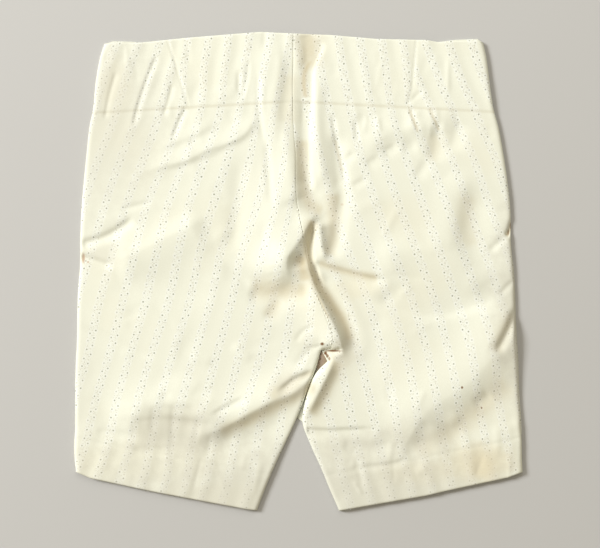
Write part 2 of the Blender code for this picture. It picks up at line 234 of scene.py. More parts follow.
def bowed(rows, share, half, waist_bow):
    """Points of a half on its sections, with the bow of its waist and its hem, and how far
    each point lies below the waist and above the hem."""
    x = rows[:, 0:1] + (rows[:, 2:3] - rows[:, 0:1]) * share
    y = rows[:, 1:2] + (rows[:, 3:4] - rows[:, 1:2]) * share
    waist = rows[0, 1] + (rows[0, 3] - rows[0, 1]) * share - y
    hem = y - (rows[-1, 1] + (rows[-1, 3] - rows[-1, 1]) * share)
    waist_rise = np.interp(share, *np.array(waist_bow).T)
    hem_rise = np.interp(share, *np.array(HEM_BOW[half]).T)
    y = y + waist_rise * smooth_step(1.0 - waist / BOW_REACH)
    y = y + hem_rise * smooth_step(1.0 - hem / BOW_REACH)
    return x, y, waist, hem


for half in HALVES:
    print(half, "half has", len(section_lines(half, 5.0)), "rows at a 5 mm step")

# %% [markdown]
# ## The folds
#
# Cloth that was worn and washed never lies quite level. The seat stands up in
# soft bulges beside the seam, creases fan out from the waist, and the crotch
# gathers the cloth into one sharp ridge. Each fold is a bell-shaped ridge, or a
# trough where its height is negative, along a path. Its two widths are those on
# the left and on the right of the path's direction, so one side can be steep.
# The CAD has most of these large folds too, in simpler shapes.

# %% Large folds
# Each entry: height, width on the left, width on the right, length of the fade
# at the start, length of the fade at the end, path
LARGE_FOLDS = {
    "seat_bulge": (2.4, 12, 16, 34, 16, ((-6, 90), (-9, 60), (-15, 36), (-21, 12), (-26, -10))),
    "seam_ridge": (4.5, 3.8, 15, 50, 26, (
        (6.6, 27), (6.2, 19), (6.4, 11), (8.5, 0), (13, -13), (21.5, -30), (28, -44), (31.8, -54),
        (30, -62), (26, -70))),
    "seat_lip": (3.9, 4.5, 13, 10, 22, (
        (12.5, 45), (9, 37), (4, 28.5), (-4.5, 16), (-8.5, 9), (-8.8, 0), (-4, -10))),
    "seat_slope": (2, 12, 12, 10, 14, ((-4, 20), (-8.5, 10), (-8.5, 0), (-4, -12))),
    "leg_trough": (-1.1, 12, 10, 26, 26, ((22, 10), (38, -12), (51, -34), (55, -58), (38, -86))),
    "cliff_foot": (-1.8, 6, 6, 10, 26, (
        (14, -2), (22, -14), (31, -28), (38, -43), (40.5, -57), (36, -72))),
    "right_inseam_ridge": (3.6, 4.2, 7, 16, 16, (
        (28, -60), (23.5, -73), (17, -86), (11, -98), (5, -111))),
    "crotch_to_left_leg": (3.9, 5.6, 16, 26, 46, (
        (18, -62), (8, -78), (-2, -88.5), (-17.5, -95), (-36, -104.5), (-58, -116.5), (-72, -121),
        (-86, -121.5))),
    "left_leg_trough": (-1.1, 12, 9, 20, 20, ((0, -102), (-24, -118), (-50, -129), (-80, -133))),
    "left_knee_ridge": (3, 16, 18, 26, 26, (
        (-46, -108), (-64, -105), (-86, -101.5), (-108, -104), (-144, -117))),
    "right_knee_ridge": (4, 17, 25, 14, 26, (
        (160, -24), (147, -57), (124, -84), (95, -104), (77, -132))),
    "right_knee_trough": (-1, 12, 10, 20, 20, ((164, -82), (142, -98), (118, -116), (100, -134))),
    "waist_centre_ridge": (1.2, 7, 12, 20, 20, ((-15, 172), (-17, 122), (-11, 92), (-5, 60))),
    "waist_centre_trough": (-2.5, 3.2, 6.5, 12, 12, (
        (13, 174), (11, 160), (8, 150), (7, 134), (6.2, 113), (6, 92), (6.6, 72), (9, 57))),
    "seat_right_ridge": (1.2, 5, 4, 20, 12, ((13, 150), (14, 118), (15, 92), (17, 76), (20, 64))),
    "seat_right_trough": (-1.8, 6, 5.5, 14, 8, (
        (28, 106), (29.5, 86), (31, 70), (32.5, 54), (30, 40), (28.5, 26), (23, 9))),
    "left_seat_trough": (-1, 7, 7, 18, 14, ((-43, 88), (-46, 50), (-50, 12))),
    "left_hip_ridge": (2.2, 19, 9, 14, 14, ((-68, 38), (-94, 27), (-120, 14), (-140, 6))),
    "left_hip_trough": (-0.8, 12, 12, 20, 20, ((-140, -6), (-96, -12), (-62, -24))),
    "left_waist_trough": (-0.15, 12, 8, 14, 22, ((-36, 96), (-52, 86), (-88, 71), (-126, 61))),
    "right_waist_ridge": (1.1, 9, 7, 18, 18, ((46, 84), (66, 104), (92, 108), (118, 124))),
    "right_waist_trough": (-0.15, 9, 9, 16, 14, ((44, 60), (58, 77), (88, 84), (112, 98), (124, 108))),
    "right_hip_trough": (-1.7, 14, 12, 18, 16, ((136, 64), (130, 46), (130, 26), (134, 8), (141, -8))),
    "right_hip_upper": (1.2, 9, 14, 16, 16, ((124, 78), (116, 38), (108, 10))),
    "right_hip_ridge": (1.7, 12, 15, 16, 18, ((54, 8), (84, 14), (110, 7), (146, -8))),
    "right_thigh_trough": (-1, 12, 5, 14, 18, ((54, -16), (90, -31), (154, -18))),
}
print("large folds:", len(LARGE_FOLDS))

# %% [markdown]
# ## The fine creases
#
# Among the large folds lie creases only a few millimetres wide. They fan out
# below the waist facing, run down from the darts and pull toward the crotch. A
# bump texture could hint at them, but real height gives them true light and
# shade. The columns are those of the large folds, and only this scene has them.

# %% Fine creases
CREASES = {
    "pocket_floor": (-2.6, 1.8, 3, 14, 8, (
        (12.2, 41), (10.4, 30), (9.4, 20), (10.4, 9), (13.5, -2), (18, -13))),
    "valley_end": (-1.5, 7, 7, 10, 9, ((7, 66), (11, 53), (19, 44), (24, 34))),
    "pocket_pit": (-1.8, 5.5, 6, 6, 9, ((-0.5, 16), (1.5, 8), (3.5, 0))),
    "pocket_far_lip": (1.9, 3, 3.8, 5, 7, ((16.2, 38), (16.6, 26), (18, 16), (22, 8))),
    "seam_valley": (-0.5, 2, 3, 14, 8, ((6.5, 104), (7.5, 80), (9.5, 58))),
    "waist_left_of_seam": (-0.7, 6, 6, 12, 16, ((-8, 172), (-9, 140), (-12, 116), (-8, 98))),
    "waist_top_dent": (-1.4, 9, 7, 6, 14, ((6, 180), (12, 158))),
    "seam_upper_line": (-2.6, 3, 2.4, 8, 14, (
        (18, 173), (11.5, 161), (7.4, 152), (6.6, 142), (7.2, 131), (6.2, 119), (6, 104))),
    "second_valley_line": (-0.7, 2.4, 1.1, 8, 8, ((24.5, 118), (27.8, 98), (33, 74), (34.5, 64))),
    "fan_a": (-0.6, 2.6, 5, 5, 6, ((49, 78.5), (62, 86.5))),
    "fan_d": (-0.75, 2.8, 5, 5, 6, ((62, 88), (75, 95))),
    "fan_e": (-0.7, 5, 5, 6, 6, ((76, 92), (90, 94))),
    "fan_f": (-1.2, 7.5, 5.5, 8, 8, ((105, 108), (102.5, 94), (100, 80))),
    "fan_g": (-0.6, 4.5, 3.6, 5, 6, ((97, 84), (92, 76), (86, 68))),
    "fan_b": (-0.6, 2.4, 3.4, 5, 5, ((32.5, 81.5), (43, 89.5))),
    "fan_c": (-0.55, 2.2, 3.6, 6, 6, ((38, 62), (52, 70.5))),
    "thigh_crease_a": (-1.7, 2.4, 6.5, 4, 14, (
        (11, 6.5), (19, 3.6), (28, 0.8), (38.4, -2), (50, -4.8), (68, -7.5))),
    "seat_patch": (-1.7, 7, 7, 8, 8, ((-38, -15), (-16, -18), (11, -14))),
    "seat_patch_tail": (-1, 6, 4, 8, 10, ((-12, -18), (-19, -28), (-25, -40))),
    "seat_left_edge": (-0.5, 3, 5, 10, 10, ((-58, 7), (-42, -6), (-30, -24))),
    "left_upright_a": (-0.6, 2, 2.6, 14, 14, ((-30, 152), (-29, 117), (-25, 92))),
    "left_upright_b": (-0.6, 2.4, 3, 12, 12, ((-24, 100), (-22, 74), (-20, 46))),
    "left_upright_c": (-0.3, 2, 2, 6, 6, ((-43, 145), (-44, 128))),
    "left_fan_line": (-0.15, 4, 1.8, 6, 22, (
        (-35, 104), (-41, 97), (-54, 92.5), (-62, 86), (-80, 81), (-90, 77.5), (-108, 71))),
    "left_fan_ridge": (1.1, 2.8, 8, 10, 40, (
        (-32, 116), (-40, 103), (-50, 97), (-66, 91.5), (-84, 83), (-104, 78), (-126, 70))),
    "left_fan_second": (0.5, 3, 6, 10, 14, ((-60, 112), (-84, 100), (-108, 92))),
    "left_side_a": (-0.5, 2.6, 2, 8, 8, ((-108, 52), (-134, 46))),
    "left_side_b": (-1.5, 4, 2.6, 8, 5, ((-122, 40), (-142, 27), (-163, 20))),
    "left_side_c": (-1.7, 3, 2.4, 6, 4, ((-138, 3), (-152, 8), (-164, 12))),
    "left_thigh_faint": (-0.5, 4, 3, 14, 14, ((-164, -39), (-136, -53), (-106, -67))),
    "left_thigh_far": (-0.7, 5, 5, 12, 12, ((-72, -118), (-96, -110), (-118, -102))),
    "crotch_crease_left": (-2, 4, 2.2, 8, 10, (
        (12.5, -73), (6, -77), (-2, -80), (-9, -85.5), (-17, -91))),
    "crotch_small_a": (-0.6, 3, 3.4, 5, 10, ((20, -51), (10, -57), (0, -68), (-6, -74))),
    "seam_crest": (0.9, 4, 8, 12, 10, ((-4, 106), (-2.6, 88), (-2.5, 66), (-1, 46))),
    "crotch_line": (-3, 1.4, 2.6, 2, 2.5, ((17, -58.6), (25, -59), (32.5, -57.8))),
    "crotch_arm": (-2.2, 1, 1, 1, 2, ((19, -60), (21.5, -63), (24, -66.5))),
    "crotch_small_b": (-0.5, 1.8, 1.6, 5, 6, ((12, -40), (3, -45), (-3, -54))),
    "left_leg_small": (-0.7, 3.4, 1.6, 6, 8, ((-39, -93.5), (-57, -102.5), (-66, -108))),
    "left_hem_a": (-0.45, 3, 5, 6, 8, ((-107, -100.5), (-90, -102.5), (-74, -101.5))),
    "left_hem_b": (-0.6, 3, 6, 8, 8, ((-124, -112), (-94, -111), (-62, -115))),
    "left_hem_c": (-0.5, 3, 5, 6, 8, ((-152, -119), (-120, -123))),
    "left_knee_link": (-0.4, 2.6, 5, 6, 8, ((-124, -132), (-92, -133))),
    "left_knee_up_a": (-0.35, 4, 2.4, 6, 7, ((-121.5, -106), (-124, -130))),
    "left_knee_up_b": (-0.35, 4, 2.4, 6, 7, ((-107, -98), (-110, -122))),
    "left_knee_up_c": (-0.45, 4, 2.4, 8, 16, ((-93, -96), (-95.5, -146))),
    "left_knee_up_d": (-0.35, 4, 2.4, 6, 7, ((-74, -106), (-77, -127))),
    "right_upright_a": (-1, 7, 5, 8, 8, ((121, 114), (117, 100), (113, 88))),
    "right_side_a": (-2.2, 1.4, 2.2, 2, 3, ((160, 38), (158.2, 32), (155, 25))),
    "right_side_tail": (-0.8, 2.6, 3, 4, 6, ((155, 26), (149, 21), (141, 14))),
    "right_side_b": (-0.7, 2.4, 2, 4, 5, ((161, -6), (149, -18))),
    "right_side_c": (-2.4, 3.5, 3.5, 8, 8, ((163, -26), (156, -44), (147, -62))),
    "right_leg_line": (-1.3, 1.8, 6, 3, 24, ((5, -118), (20, -119), (34, -118.5), (62, -117))),
    "right_knee_tail": (-1.2, 8, 7, 10, 12, ((104, -124), (90, -133), (76, -141))),
    "right_knee_lump": (0.8, 5, 6, 6, 6, ((120, -104), (111, -117))),
    "right_knee_dip": (-0.9, 5, 5, 5, 6, ((144, -90), (130, -101))),
    "right_hem_dip": (-0.9, 6, 6, 6, 8, ((98, -110), (91, -122), (90, -134))),
    "right_hem_line": (-0.45, 1.6, 3, 6, 5, ((38, -147), (60, -144.5), (74, -142.5), (82, -137.5))),
    "right_leg_second": (-0.7, 4, 6, 6, 10, ((32, -128), (54, -130.5), (72, -129))),
    "dart_side_valley": (-0.8, 2.4, 1.1, 8, 10, (
        (-105, 163), (-113, 143.5), (-119.7, 123.4), (-124, 106))),
    "dart_side_line": (-0.6, 2.2, 0.9, 5, 5, ((-94, 141), (-98, 125), (-101.5, 115))),
    "left_stripe_line_a": (-0.5, 2.2, 0.9, 5, 6, ((-42, 128), (-37.5, 148), (-37, 158))),
    "left_stripe_line_b": (-0.5, 2.2, 0.9, 5, 6, ((-136, 150), (-142, 128), (-145, 112))),
    "dart_tail_left": (-0.8, 2.4, 1, 4, 8, ((-84, 123), (-90.6, 108.5), (-95, 96))),
    "dart_tail_right": (-0.6, 2.4, 1, 3, 4, ((82.6, 121), (85.4, 113.5), (89.2, 104))),
    "dart_pull_right": (-0.4, 1.6, 1.4, 3, 4, ((80.5, 124.5), (86.9, 129.7), (93, 136))),
    "right_waist_a": (-0.5, 2.4, 1, 3, 4, ((97.4, 121.5), (105.2, 105))),
    "right_waist_c": (-0.6, 2, 1, 5, 5, ((41.5, 113), (43.8, 96))),
    "right_waist_d": (-0.5, 5, 4, 5, 5, ((49, 118), (46, 108))),
    "right_waist_b": (-0.3, 1.6, 1.6, 4, 4, ((116, 118), (121, 106))),
}
print("fine creases:", len(CREASES))

# %% [markdown]
# ## The shape of one fold
#
# Cut across its path, a fold is a bell, and a round bell suits most of them.
# Pulled cloth has a sharper crest on its steep side, so some folds have a lower
# power there. Toward both ends of its path each fold fades out.

# %% Height of a fold
# Folds with a sharp crest on their steeper side, and its power: 2 is a round bell
SHARP = {
    "seam_ridge": 1.3,
    "seat_lip": 1.4,
    "left_fan_ridge": 1.6,
    "right_inseam_ridge": 1.3,
    "seam_crest": 1.2,
    "crotch_to_left_leg": 1.5,
    "right_knee_ridge": 1.6,
    "pocket_far_lip": 1.5,
    "left_hip_ridge": 1.6,
}


def fold_height(fold, x, y, power=2.0):
    """Height times e to the power of less the distance over width, squared or sharper."""
    height, left, right, fade_in, fade_out, path = fold
    drawn = rounded_path(path)
    length = np.hypot(*np.diff(drawn, axis=0).T).sum()
    distance, side, share = path_distance(x, y, drawn)
    width = np.where(side > 0.0, left, right)
    ends = smooth_step(share * length / fade_in) * smooth_step((1.0 - share) * length / fade_out)
    narrow = (side > 0.0) == (left < right)
    bend = np.where(narrow, power, 2.0)
    return height * ends * np.exp(-(distance / width) ** bend)


lip_height = fold_height(LARGE_FOLDS["seat_lip"], np.array([4.0]), np.array([28.5]))
print("height of the seat's lip on its path, in mm:", round(float(lip_height[0]), 1))

# %% [markdown]
# ## Small unevenness
#
# Between the named creases, real cotton has faint dents of every direction. A
# displacement texture would do, but it would look the same all over. Instead we
# scatter short shallow creases, always from the same seed. A second kind stands
# nearly upright, in two bands: one at the waist and one at the hems.

# %% Scattered dents
DENTS = 150
DENT_HEIGHT = 0.22
DENT_SEED = 11
UPRIGHT_DENTS = 110
UPRIGHT_HEIGHT = 0.20
# Two opposite corners of each area
DENT_AREA = ((-165.0, -175.0), (165.0, 172.0))
WAIST_AREA = ((-155.0, 92.0), (155.0, 168.0))
HEM_AREA = ((-160.0, -170.0), (160.0, -128.0))
# Turns in radians as a middle and a spread, lengths and widths as a least and a most
DENT_TURN = (0.9, 0.9)
UPRIGHT_TURN = (1.5, 0.3)
DENT_LENGTH = (10.0, 34.0)
DENT_WIDTH = (2.5, 7.0)
UPRIGHT_WIDTH = (1.4, 3.6)


def scattered_dents(x, y):
    """Sum of short shallow bells at random places, lengths and directions."""
    source = np.random.default_rng(DENT_SEED)
    total = np.zeros_like(x)
    for number in range(DENTS + UPRIGHT_DENTS):
        place = source.uniform(*DENT_AREA)
        turn = source.normal(*DENT_TURN)
        length = source.uniform(*DENT_LENGTH)
        width = source.uniform(*DENT_WIDTH)
        height = source.normal(0.0, DENT_HEIGHT)
        if number >= DENTS:
            place = source.uniform(*(WAIST_AREA if number % 3 else HEM_AREA))
            turn = source.normal(*UPRIGHT_TURN)
            width = source.uniform(*UPRIGHT_WIDTH)
            height = source.normal(0.0, UPRIGHT_HEIGHT)
        end = place + length * np.array([np.cos(turn), np.sin(turn)])
        near = np.hypot(x - place[0], y - place[1]) < length + 3.0 * width
        if near.any():
            fade = length / 3.0
            dent = (height, width, width, fade, fade, (place, end))
            total[near] += fold_height(dent, x[near], y[near])
    return total


print("dents:", DENTS, "of any direction and", UPRIGHT_DENTS, "upright")

# %% [markdown]
# ## Layers, seams and edges
#
# The upper layer rests on the front, or on a facing where there is one, and a
# little air holds it up between. Each facing's edge prints through the back as a
# low step and a faint line. A simulation could press the layers together, but
# named heights keep them apart for certain, wherever the folds go.

# %% Heights of the layers in millimetres
# The wall of the cloth, then the top of each layer
CLOTH = 0.5
FRONT_TOP = 0.65
LOWER_FACING_TOP = 1.5
UPPER_FACING_TOP = 2.4
BODY_TOP = 3.3
WAIST_TOP = 3.55
HEM_TOP = 3.8
LEAST_AIR = 0.1
WAIST_FACING_DEPTH = 50.0
HEM_FACING_DEPTH = 26.0
PRINT_WIDTH = 2.0
PRINT_LINE = 0.14
PRINT_LINE_BELOW = 1.2
PRINT_LINE_WIDTH = 0.9
HEM_RAMP = 14.0
HEM_PRINT = 0.18
HEM_PRINT_WIDTH = 1.6


def layer_top(x, y, waist, hem):
    """Height of the upper layer's face: its rest height plus the sum of all folds, dents
    and printed edges, and never lower than the layer under it."""
    in_waist = smooth_step(1.0 - (waist - WAIST_FACING_DEPTH) / PRINT_WIDTH)
    in_hem = smooth_step(1.0 - (hem - HEM_FACING_DEPTH) / HEM_RAMP)
    rest = BODY_TOP + (WAIST_TOP - BODY_TOP) * in_waist + (HEM_TOP - BODY_TOP) * in_hem
    under = FRONT_TOP + (LOWER_FACING_TOP - FRONT_TOP) * in_waist
    under = under + (UPPER_FACING_TOP - FRONT_TOP) * in_hem
    named = {**LARGE_FOLDS, **CREASES}
    folds = sum(fold_height(fold, x, y, SHARP.get(name, 2.0)) for name, fold in named.items())
    folds = folds + scattered_dents(x, y)
    line = waist - WAIST_FACING_DEPTH - PRINT_LINE_BELOW
    folds = folds - PRINT_LINE * np.exp(-(line / PRINT_LINE_WIDTH) ** 2)
    folds = folds - HEM_PRINT * np.exp(-((hem - HEM_FACING_DEPTH) / HEM_PRINT_WIDTH) ** 2)
    return smooth_max(rest + folds, under + LEAST_AIR + CLOTH)


print("air between back and front in mm:", round(BODY_TOP - CLOTH - FRONT_TOP, 2))

# %% [markdown]
# ## The surface of a back
#
# A tailor joins the two backs along the centre seam and takes in a dart on each
# side of it. A boolean could cut such grooves, but here the height just drops in
# a narrow bell along the seam and the darts. The outer edges roll down to the
# front, and the columns lie closer together near the edges.

# %% Seam, darts and rolled edges
SEAM_CLEARANCE = 0.04
SEAM_GROOVE = 0.15
SEAM_GROOVE_END = -8.0
SEAM_GROOVE_FADE = 12.0
SEAM_GROOVE_WIDTH = 0.55
DARTS = {
    "left": ((-97.3, 172.5), (-92.0, 154.7), (-87.5, 141.0), (-82.4, 124.0)),
    "right": ((87.8, 172.5), (86.4, 152.0), (84.2, 136.5), (81.3, 124.5)),
}
DART_GROOVE = 0.35
DART_GROOVE_WIDTH = 0.7
EDGE_ROLL = 3.6
ROLL_POWER = 2.4
RIM_TOP = 1.5
EDGE_DROP = 0.6
EDGE_DROP_WIDTH = 1.0
# The grid of a back: step down the rows, close rows and columns at the edges, columns between
ROW_STEP = 1.15
EDGE_ROWS = (0.0, 0.3, 0.8, 1.6)
EDGE_COLUMNS = (0.0, 0.25, 0.6, 1.1, 1.7, 2.5, 3.4, 4.5)
MIDDLE_COLUMNS = 126


def back_surface(half):
    """Points of one back panel: sections down, distances across, and the layer's height
    less a bell at the seam and the dart, which then rolls down at the sides as the root
    of one less a power of the distance from the edge. Distances to edges skip some rows."""
    rows = section_lines(half, ROW_STEP, lips=EDGE_ROWS)
    rows[:, 2] += SIGN[half] * SEAM_CLEARANCE
    width = np.hypot(rows[:, 2] - rows[:, 0], rows[:, 3] - rows[:, 1])
    side = [np.full_like(width, distance) for distance in EDGE_COLUMNS]
    inner = [width - distance for distance in reversed(EDGE_COLUMNS)]
    between = np.linspace(side[-1], inner[0], MIDDLE_COLUMNS + 2)[1:-1]
    share = np.concatenate([side, between, inner]).T / width[:, None]
    x, y, waist, hem = bowed(rows, share, half, WAIST_BOW[half])
    top = layer_top(x, y, waist, hem)

    on_seam = rows[:, 3] >= HALVES[half][CROTCH_ROW][3]
    seam = rows[on_seam, 2:4]
    to_seam = path_distance(x, y, seam[::4])[0]
    groove = SEAM_GROOVE * smooth_step((y - SEAM_GROOVE_END) / SEAM_GROOVE_FADE)
    top = top - groove * np.exp(-(to_seam / SEAM_GROOVE_WIDTH) ** 2)
    dart = path_distance(x, y, DARTS[half])[0]
    top = top - DART_GROOVE * np.exp(-(dart / DART_GROOVE_WIDTH) ** 2)

    leg_opening = rows[np.flatnonzero(on_seam)[-1]:, 2:4]
    to_side = path_distance(x, y, rows[::4, 0:2])[0]
    to_inseam = path_distance(x, y, leg_opening[::2])[0]
    to_waist = np.hypot(x - x[:1], y - y[:1])
    to_hem = np.hypot(x - x[-1:], y - y[-1:])
    roll = 1.0 - np.clip(np.minimum(to_side, to_inseam) / EDGE_ROLL, 0.0, 1.0)
    rolled = RIM_TOP + (top - RIM_TOP) * np.sqrt(1.0 - roll ** ROLL_POWER)
    drop = 1.0 - np.clip(np.minimum(to_waist, to_hem) / EDGE_DROP_WIDTH, 0.0, 1.0)
    return x, y, rolled - EDGE_DROP * drop ** 2, waist, hem


print("columns across a back:", MIDDLE_COLUMNS + 2 * len(EDGE_COLUMNS))

# %% [markdown]
# ## The grain of the cloth
#
# The cotton has dotted stripes along its warp. Folds and darts bend them, so a
# straight texture would look false. We chart where every second stripe runs on
# each half, at thirteen heights. The chart gives each point a stripe number. The
# other coordinate is the distance along the cloth in dot spacings, and both go
# into a UV map.

# %% Chart of the stripes
# Columns: height y, then the x of every second stripe, with the numbers of LEFT_STRIPES
LEFT_STRIPES = (-2, 0, 2, 4, 6, 8, 10)
LEFT_CHART = (
    (178, 40, 10, -20, -52, -81, -112, -144),
    (171, 39, 8.5, -21.3, -52.6, -82.4, -113.4, -145.4),
    (154.7, 36, 6.4, -25, -54.8, -85.4, -115.1, -148.6),
    (119, 18, -6.3, -30.2, -58.5, -87.6, -119.7, -152),
    (83.1, 13, -10.8, -36.2, -70.5, -98.8, -133.1, -166),
    (47.3, 4, -16.8, -46.6, -82.4, -113.7, -145, -176),
    (11.6, 0, -27.2, -58.5, -89.8, -122.6, -155.4, -187),
    (-24.2, -5, -34.7, -66, -97.3, -131.6, -165.9, -198),
    (-60, -10.8, -43.6, -77.2, -109.2, -140.5, -173, -205),
    (-95.8, -24.2, -52.6, -86.9, -119.7, -151, -183, -215),
    (-131.6, -31.7, -64.5, -95.8, -125.6, -159.9, -193, -226),
    (-149.5, -34.7, -67.5, -97.3, -131.6, -165.9, -199, -232),
    (-180, -42, -76, -106, -140, -174, -208, -241),
)
RIGHT_STRIPES = (-4, -2, 0, 2, 4, 6, 8)
RIGHT_CHART = (
    (178, -50, -18, 12.5, 45, 77, 110, 145),
    (171, -48, -17, 14, 46, 77.9, 109.8, 144.8),
    (154.7, -42, -12, 16, 48.8, 80.1, 110.7, 144.2),
    (119, -40, -9, 23.5, 54.8, 83.9, 115.2, 149),
    (83.1, -27, 4.1, 30.9, 63.7, 98, 130.8, 163),
    (47.3, -22, 10.1, 41.4, 75.7, 111.5, 142.8, 174),
    (11.6, -11, 22, 54.8, 89.1, 123.4, 156.2, 189),
    (-24.2, 6, 36.9, 68.2, 102.5, 135.3, 168, 200),
    (-60, 14, 44.4, 80.1, 111.5, 145.7, 178, 210),
    (-95.8, 20.5, 53.3, 86.9, 118.9, 148.7, 181, 213),
    (-131.6, 28, 60.8, 92.1, 124.9, 156.2, 188, 220),
    (-149.5, 32.4, 65.2, 96.5, 127.9, 160.7, 193, 225),
    (-180, 40, 73, 104, 135, 168, 200, 232),
)
CHARTS = {"left": (LEFT_STRIPES, LEFT_CHART), "right": (RIGHT_STRIPES, RIGHT_CHART)}
# The way that the dots follow on each half, as its x and its y, and their spacing
GRAIN_WAY = {"left": (0.23, 0.97), "right": (-0.29, 0.957)}
DOT_STEP = 6.4
# Cloth taken up by each dart: width at the waist, and the height where it ends
DART_TAKE_UP = {"left": (10.5, 124.0), "right": (15.5, 121.0)}
DART_WAIST_Y = 171.0
# How far stripes run on past the charted ones, and how far the dart's cloth grows past the waist
STRIPES_PAST_CHART = 3.0
DART_GROWTH = 1.3
print("heights in each chart:", len(LEFT_CHART), "and", len(RIGHT_CHART))

# %% Stripe number and dots of each point
def grain_map(half, x, y):
    """Stripe number by equal shares between charted stripes, and along the stripes the
    distance in dot spacings. Past a dart, the cloth that it takes in is counted too."""
    numbers, chart = CHARTS[half]
    table = np.array(chart)[::-1]
    width, end_y = DART_TAKE_UP[half]
    dart = np.array(DARTS[half])[::-1]
    dart_x = np.interp(y, dart[:, 1], dart[:, 0])
    outside = (x - dart_x) * SIGN[half] > 0.0
    taken = width * np.clip((y - end_y) / (DART_WAIST_Y - end_y), 0.0, DART_GROWTH) * outside
    flat_x = x + SIGN[half] * taken
    heights = np.ravel(y)
    lines = cubic_between(table[:, 1:], table[:, 0], np.clip(heights, table[0, 0], table[-1, 0]))
    stripe = np.full(heights.shape, float(numbers[0]))
    spread = np.ravel(flat_x)
    for index in range(len(numbers) - 1):
        near, far = lines[:, index], lines[:, index + 1]
        share = (spread - near) / (far - near)
        low = -STRIPES_PAST_CHART if index == 0 else 0.0
        high = STRIPES_PAST_CHART if index == len(numbers) - 2 else 1.0
        value = numbers[index] + 2.0 * np.clip(share, low, high)
        stripe = np.where(share > low, value, stripe)
    way_x, way_y = GRAIN_WAY[half]
    dots = (x * way_x + y * way_y) / DOT_STEP
    return stripe.reshape(x.shape), dots


check_stripe, _ = grain_map("left", np.array([[-58.5]]), np.array([[119.0]]))
print("stripe at a charted place, which should be 4:", round(float(check_stripe[0, 0]), 2))

# %% [markdown]
# ## Dirt and painted shade in the folds
#
# Brown lines darken the foot of the folds and the creases along the stitches. They
# are partly painted shade, where the light doesn't reach into a fold, and partly dirt
# that settled in the old cotton. A painted image could show them, but lines with a
# soft edge follow the folds just as well. Their share is worked out for each point
# and goes into an attribute of the mesh, which the material reads.

# %% Lines of dirt and painted shade
# Lines of brown, partly painted shade at the foot of folds and creases and partly dirt:
# half width, strength, path
SOIL_AND_SHADE_LINES = (
    (4.5, 0.58, ((11, 40), (7, 22), (7.5, 8), (14, -9), (25, -25), (35, -42), (38, -54))),
    (6, 0.60, ((2, 15), (3, 4), (6, -10))),
    (8, 0.35, ((4, -80), (-24, -96))),
    (4.5, 0.42, ((31, -66), (25, -79), (17, -95), (9, -108))),
    (6, 0.35, ((36, -44), (38, -58))),
    (5, 0.40, ((160, -30), (152, -48), (146, -62))),
    (5, 0.45, ((14, -84), (-10, -97), (-36, -110), (-60, -121))),
    (2.5, 0.40, ((12, -74), (0, -80), (-13, -88))),
    (8, 0.42, ((-38, -13), (-14, -14), (11, -14))),
    (5, 0.30, ((-14, -18), (-24, -36))),
    (3, 0.45, ((14, 7), (30, 1.5), (60, -5))),
    (9, 0.30, ((158, -80), (128, -108), (98, -128), (84, -136))),
    (5, 0.38, ((26, 60), (26, 38), (25, 24), (22, 10))),
    (5, 0.38, ((3, 100), (3, 78), (4.5, 60), (9, 50), (19, 43))),
    (2.2, 0.60, ((10, 158), (5, 150), (4, 141), (5.2, 129))),
    (12, 0.14, ((-128, -120), (-98, -114), (-64, -118))),
    (0.9, 0.50, ((14.2, -17), (18, -25.5), (22.8, -35))),
    (9, 0.45, ((6, 182), (9, 148))),
    (7, 0.22, ((-6, 150), (-8, 108))),
    (5, 0.20, ((102, 104), (100, 80))),
    (7, 0.20, ((128, 60), (124, 40), (130, 16))),
    (1.2, 0.90, ((159, 37), (157.5, 31), (155, 26))),
    (1, 0.45, ((82.4, 121), (85.2, 113.5), (89, 104))),
    (1, 0.40, ((97.2, 121.5), (105, 105))),
    (1, 0.35, ((27.4, 98), (32.6, 74))),
)
# A tan line along the waist facing's lower edge: dirt in its stitches, and painted shade
# below the step of its edge
FACING_SOIL_AND_SHADE = 0.18
FACING_SOIL_AND_SHADE_BELOW = 0.8
FACING_SOIL_AND_SHADE_WIDTH = 1.0


def soil_and_shade_amount(x, y):
    """The strongest line's share of brown, from dirt and painted shade, by the same bell as a fold's.
    """
    amount = np.zeros_like(x)
    for width, strength, path in SOIL_AND_SHADE_LINES:
        share = strength * fold_height((1.0, width, width, width, width, path), x, y)
        amount = np.maximum(amount, share)
    return amount


print("soil lines:", len(SOIL_AND_SHADE_LINES))

# %% [markdown]
# ## Waves along the stripes
#
# Stripe and ground seldom shrink alike, so the cloth lies in low waves along its
# stripes, most of all near the waist and the hems. A bump texture would do, but
# a real wave takes the light from the side as the other folds do.

# %% Waves of the stripes
RIPPLE = 0.23
RIPPLE_IN_BODY = 0.25
# The waves fade to their size in the body up to this many times each distance from an edge
RIPPLE_FADE = 1.4
RIPPLE_WAIST = 60.0
RIPPLE_HEM = 40.0
# How uneven they are, and how fast that changes from stripe to stripe and down each one
UNEVEN = 0.35
UNEVEN_ACROSS = 2.3
UNEVEN_DOWN = 0.07


def stripe_ripple(half, x, y, waist, hem):
    """Low waves that follow the stripes: a cosine of the stripe number, uneven in size."""
    stripe, _ = grain_map(half, x, y)
    near_waist = smooth_step(RIPPLE_FADE - waist / RIPPLE_WAIST)
    zone = np.maximum(near_waist, smooth_step(RIPPLE_FADE - hem / RIPPLE_HEM))
    zone = RIPPLE_IN_BODY + (1.0 - RIPPLE_IN_BODY) * zone
    uneven = 1.0 - UNEVEN + UNEVEN * np.sin(UNEVEN_ACROSS * stripe + UNEVEN_DOWN * y)
    return RIPPLE * zone * uneven * np.cos(2.0 * np.pi * stripe)


print("height of the waves in mm:", RIPPLE)

# %% [markdown]
# ## From a grid of points to a mesh
#
# A panel is one sheet of quads. We could model both faces of the cloth, but the
# Solidify modifier gives a sheet its wall and closes the edges. Smooth shading
# hides the steps of the grid.

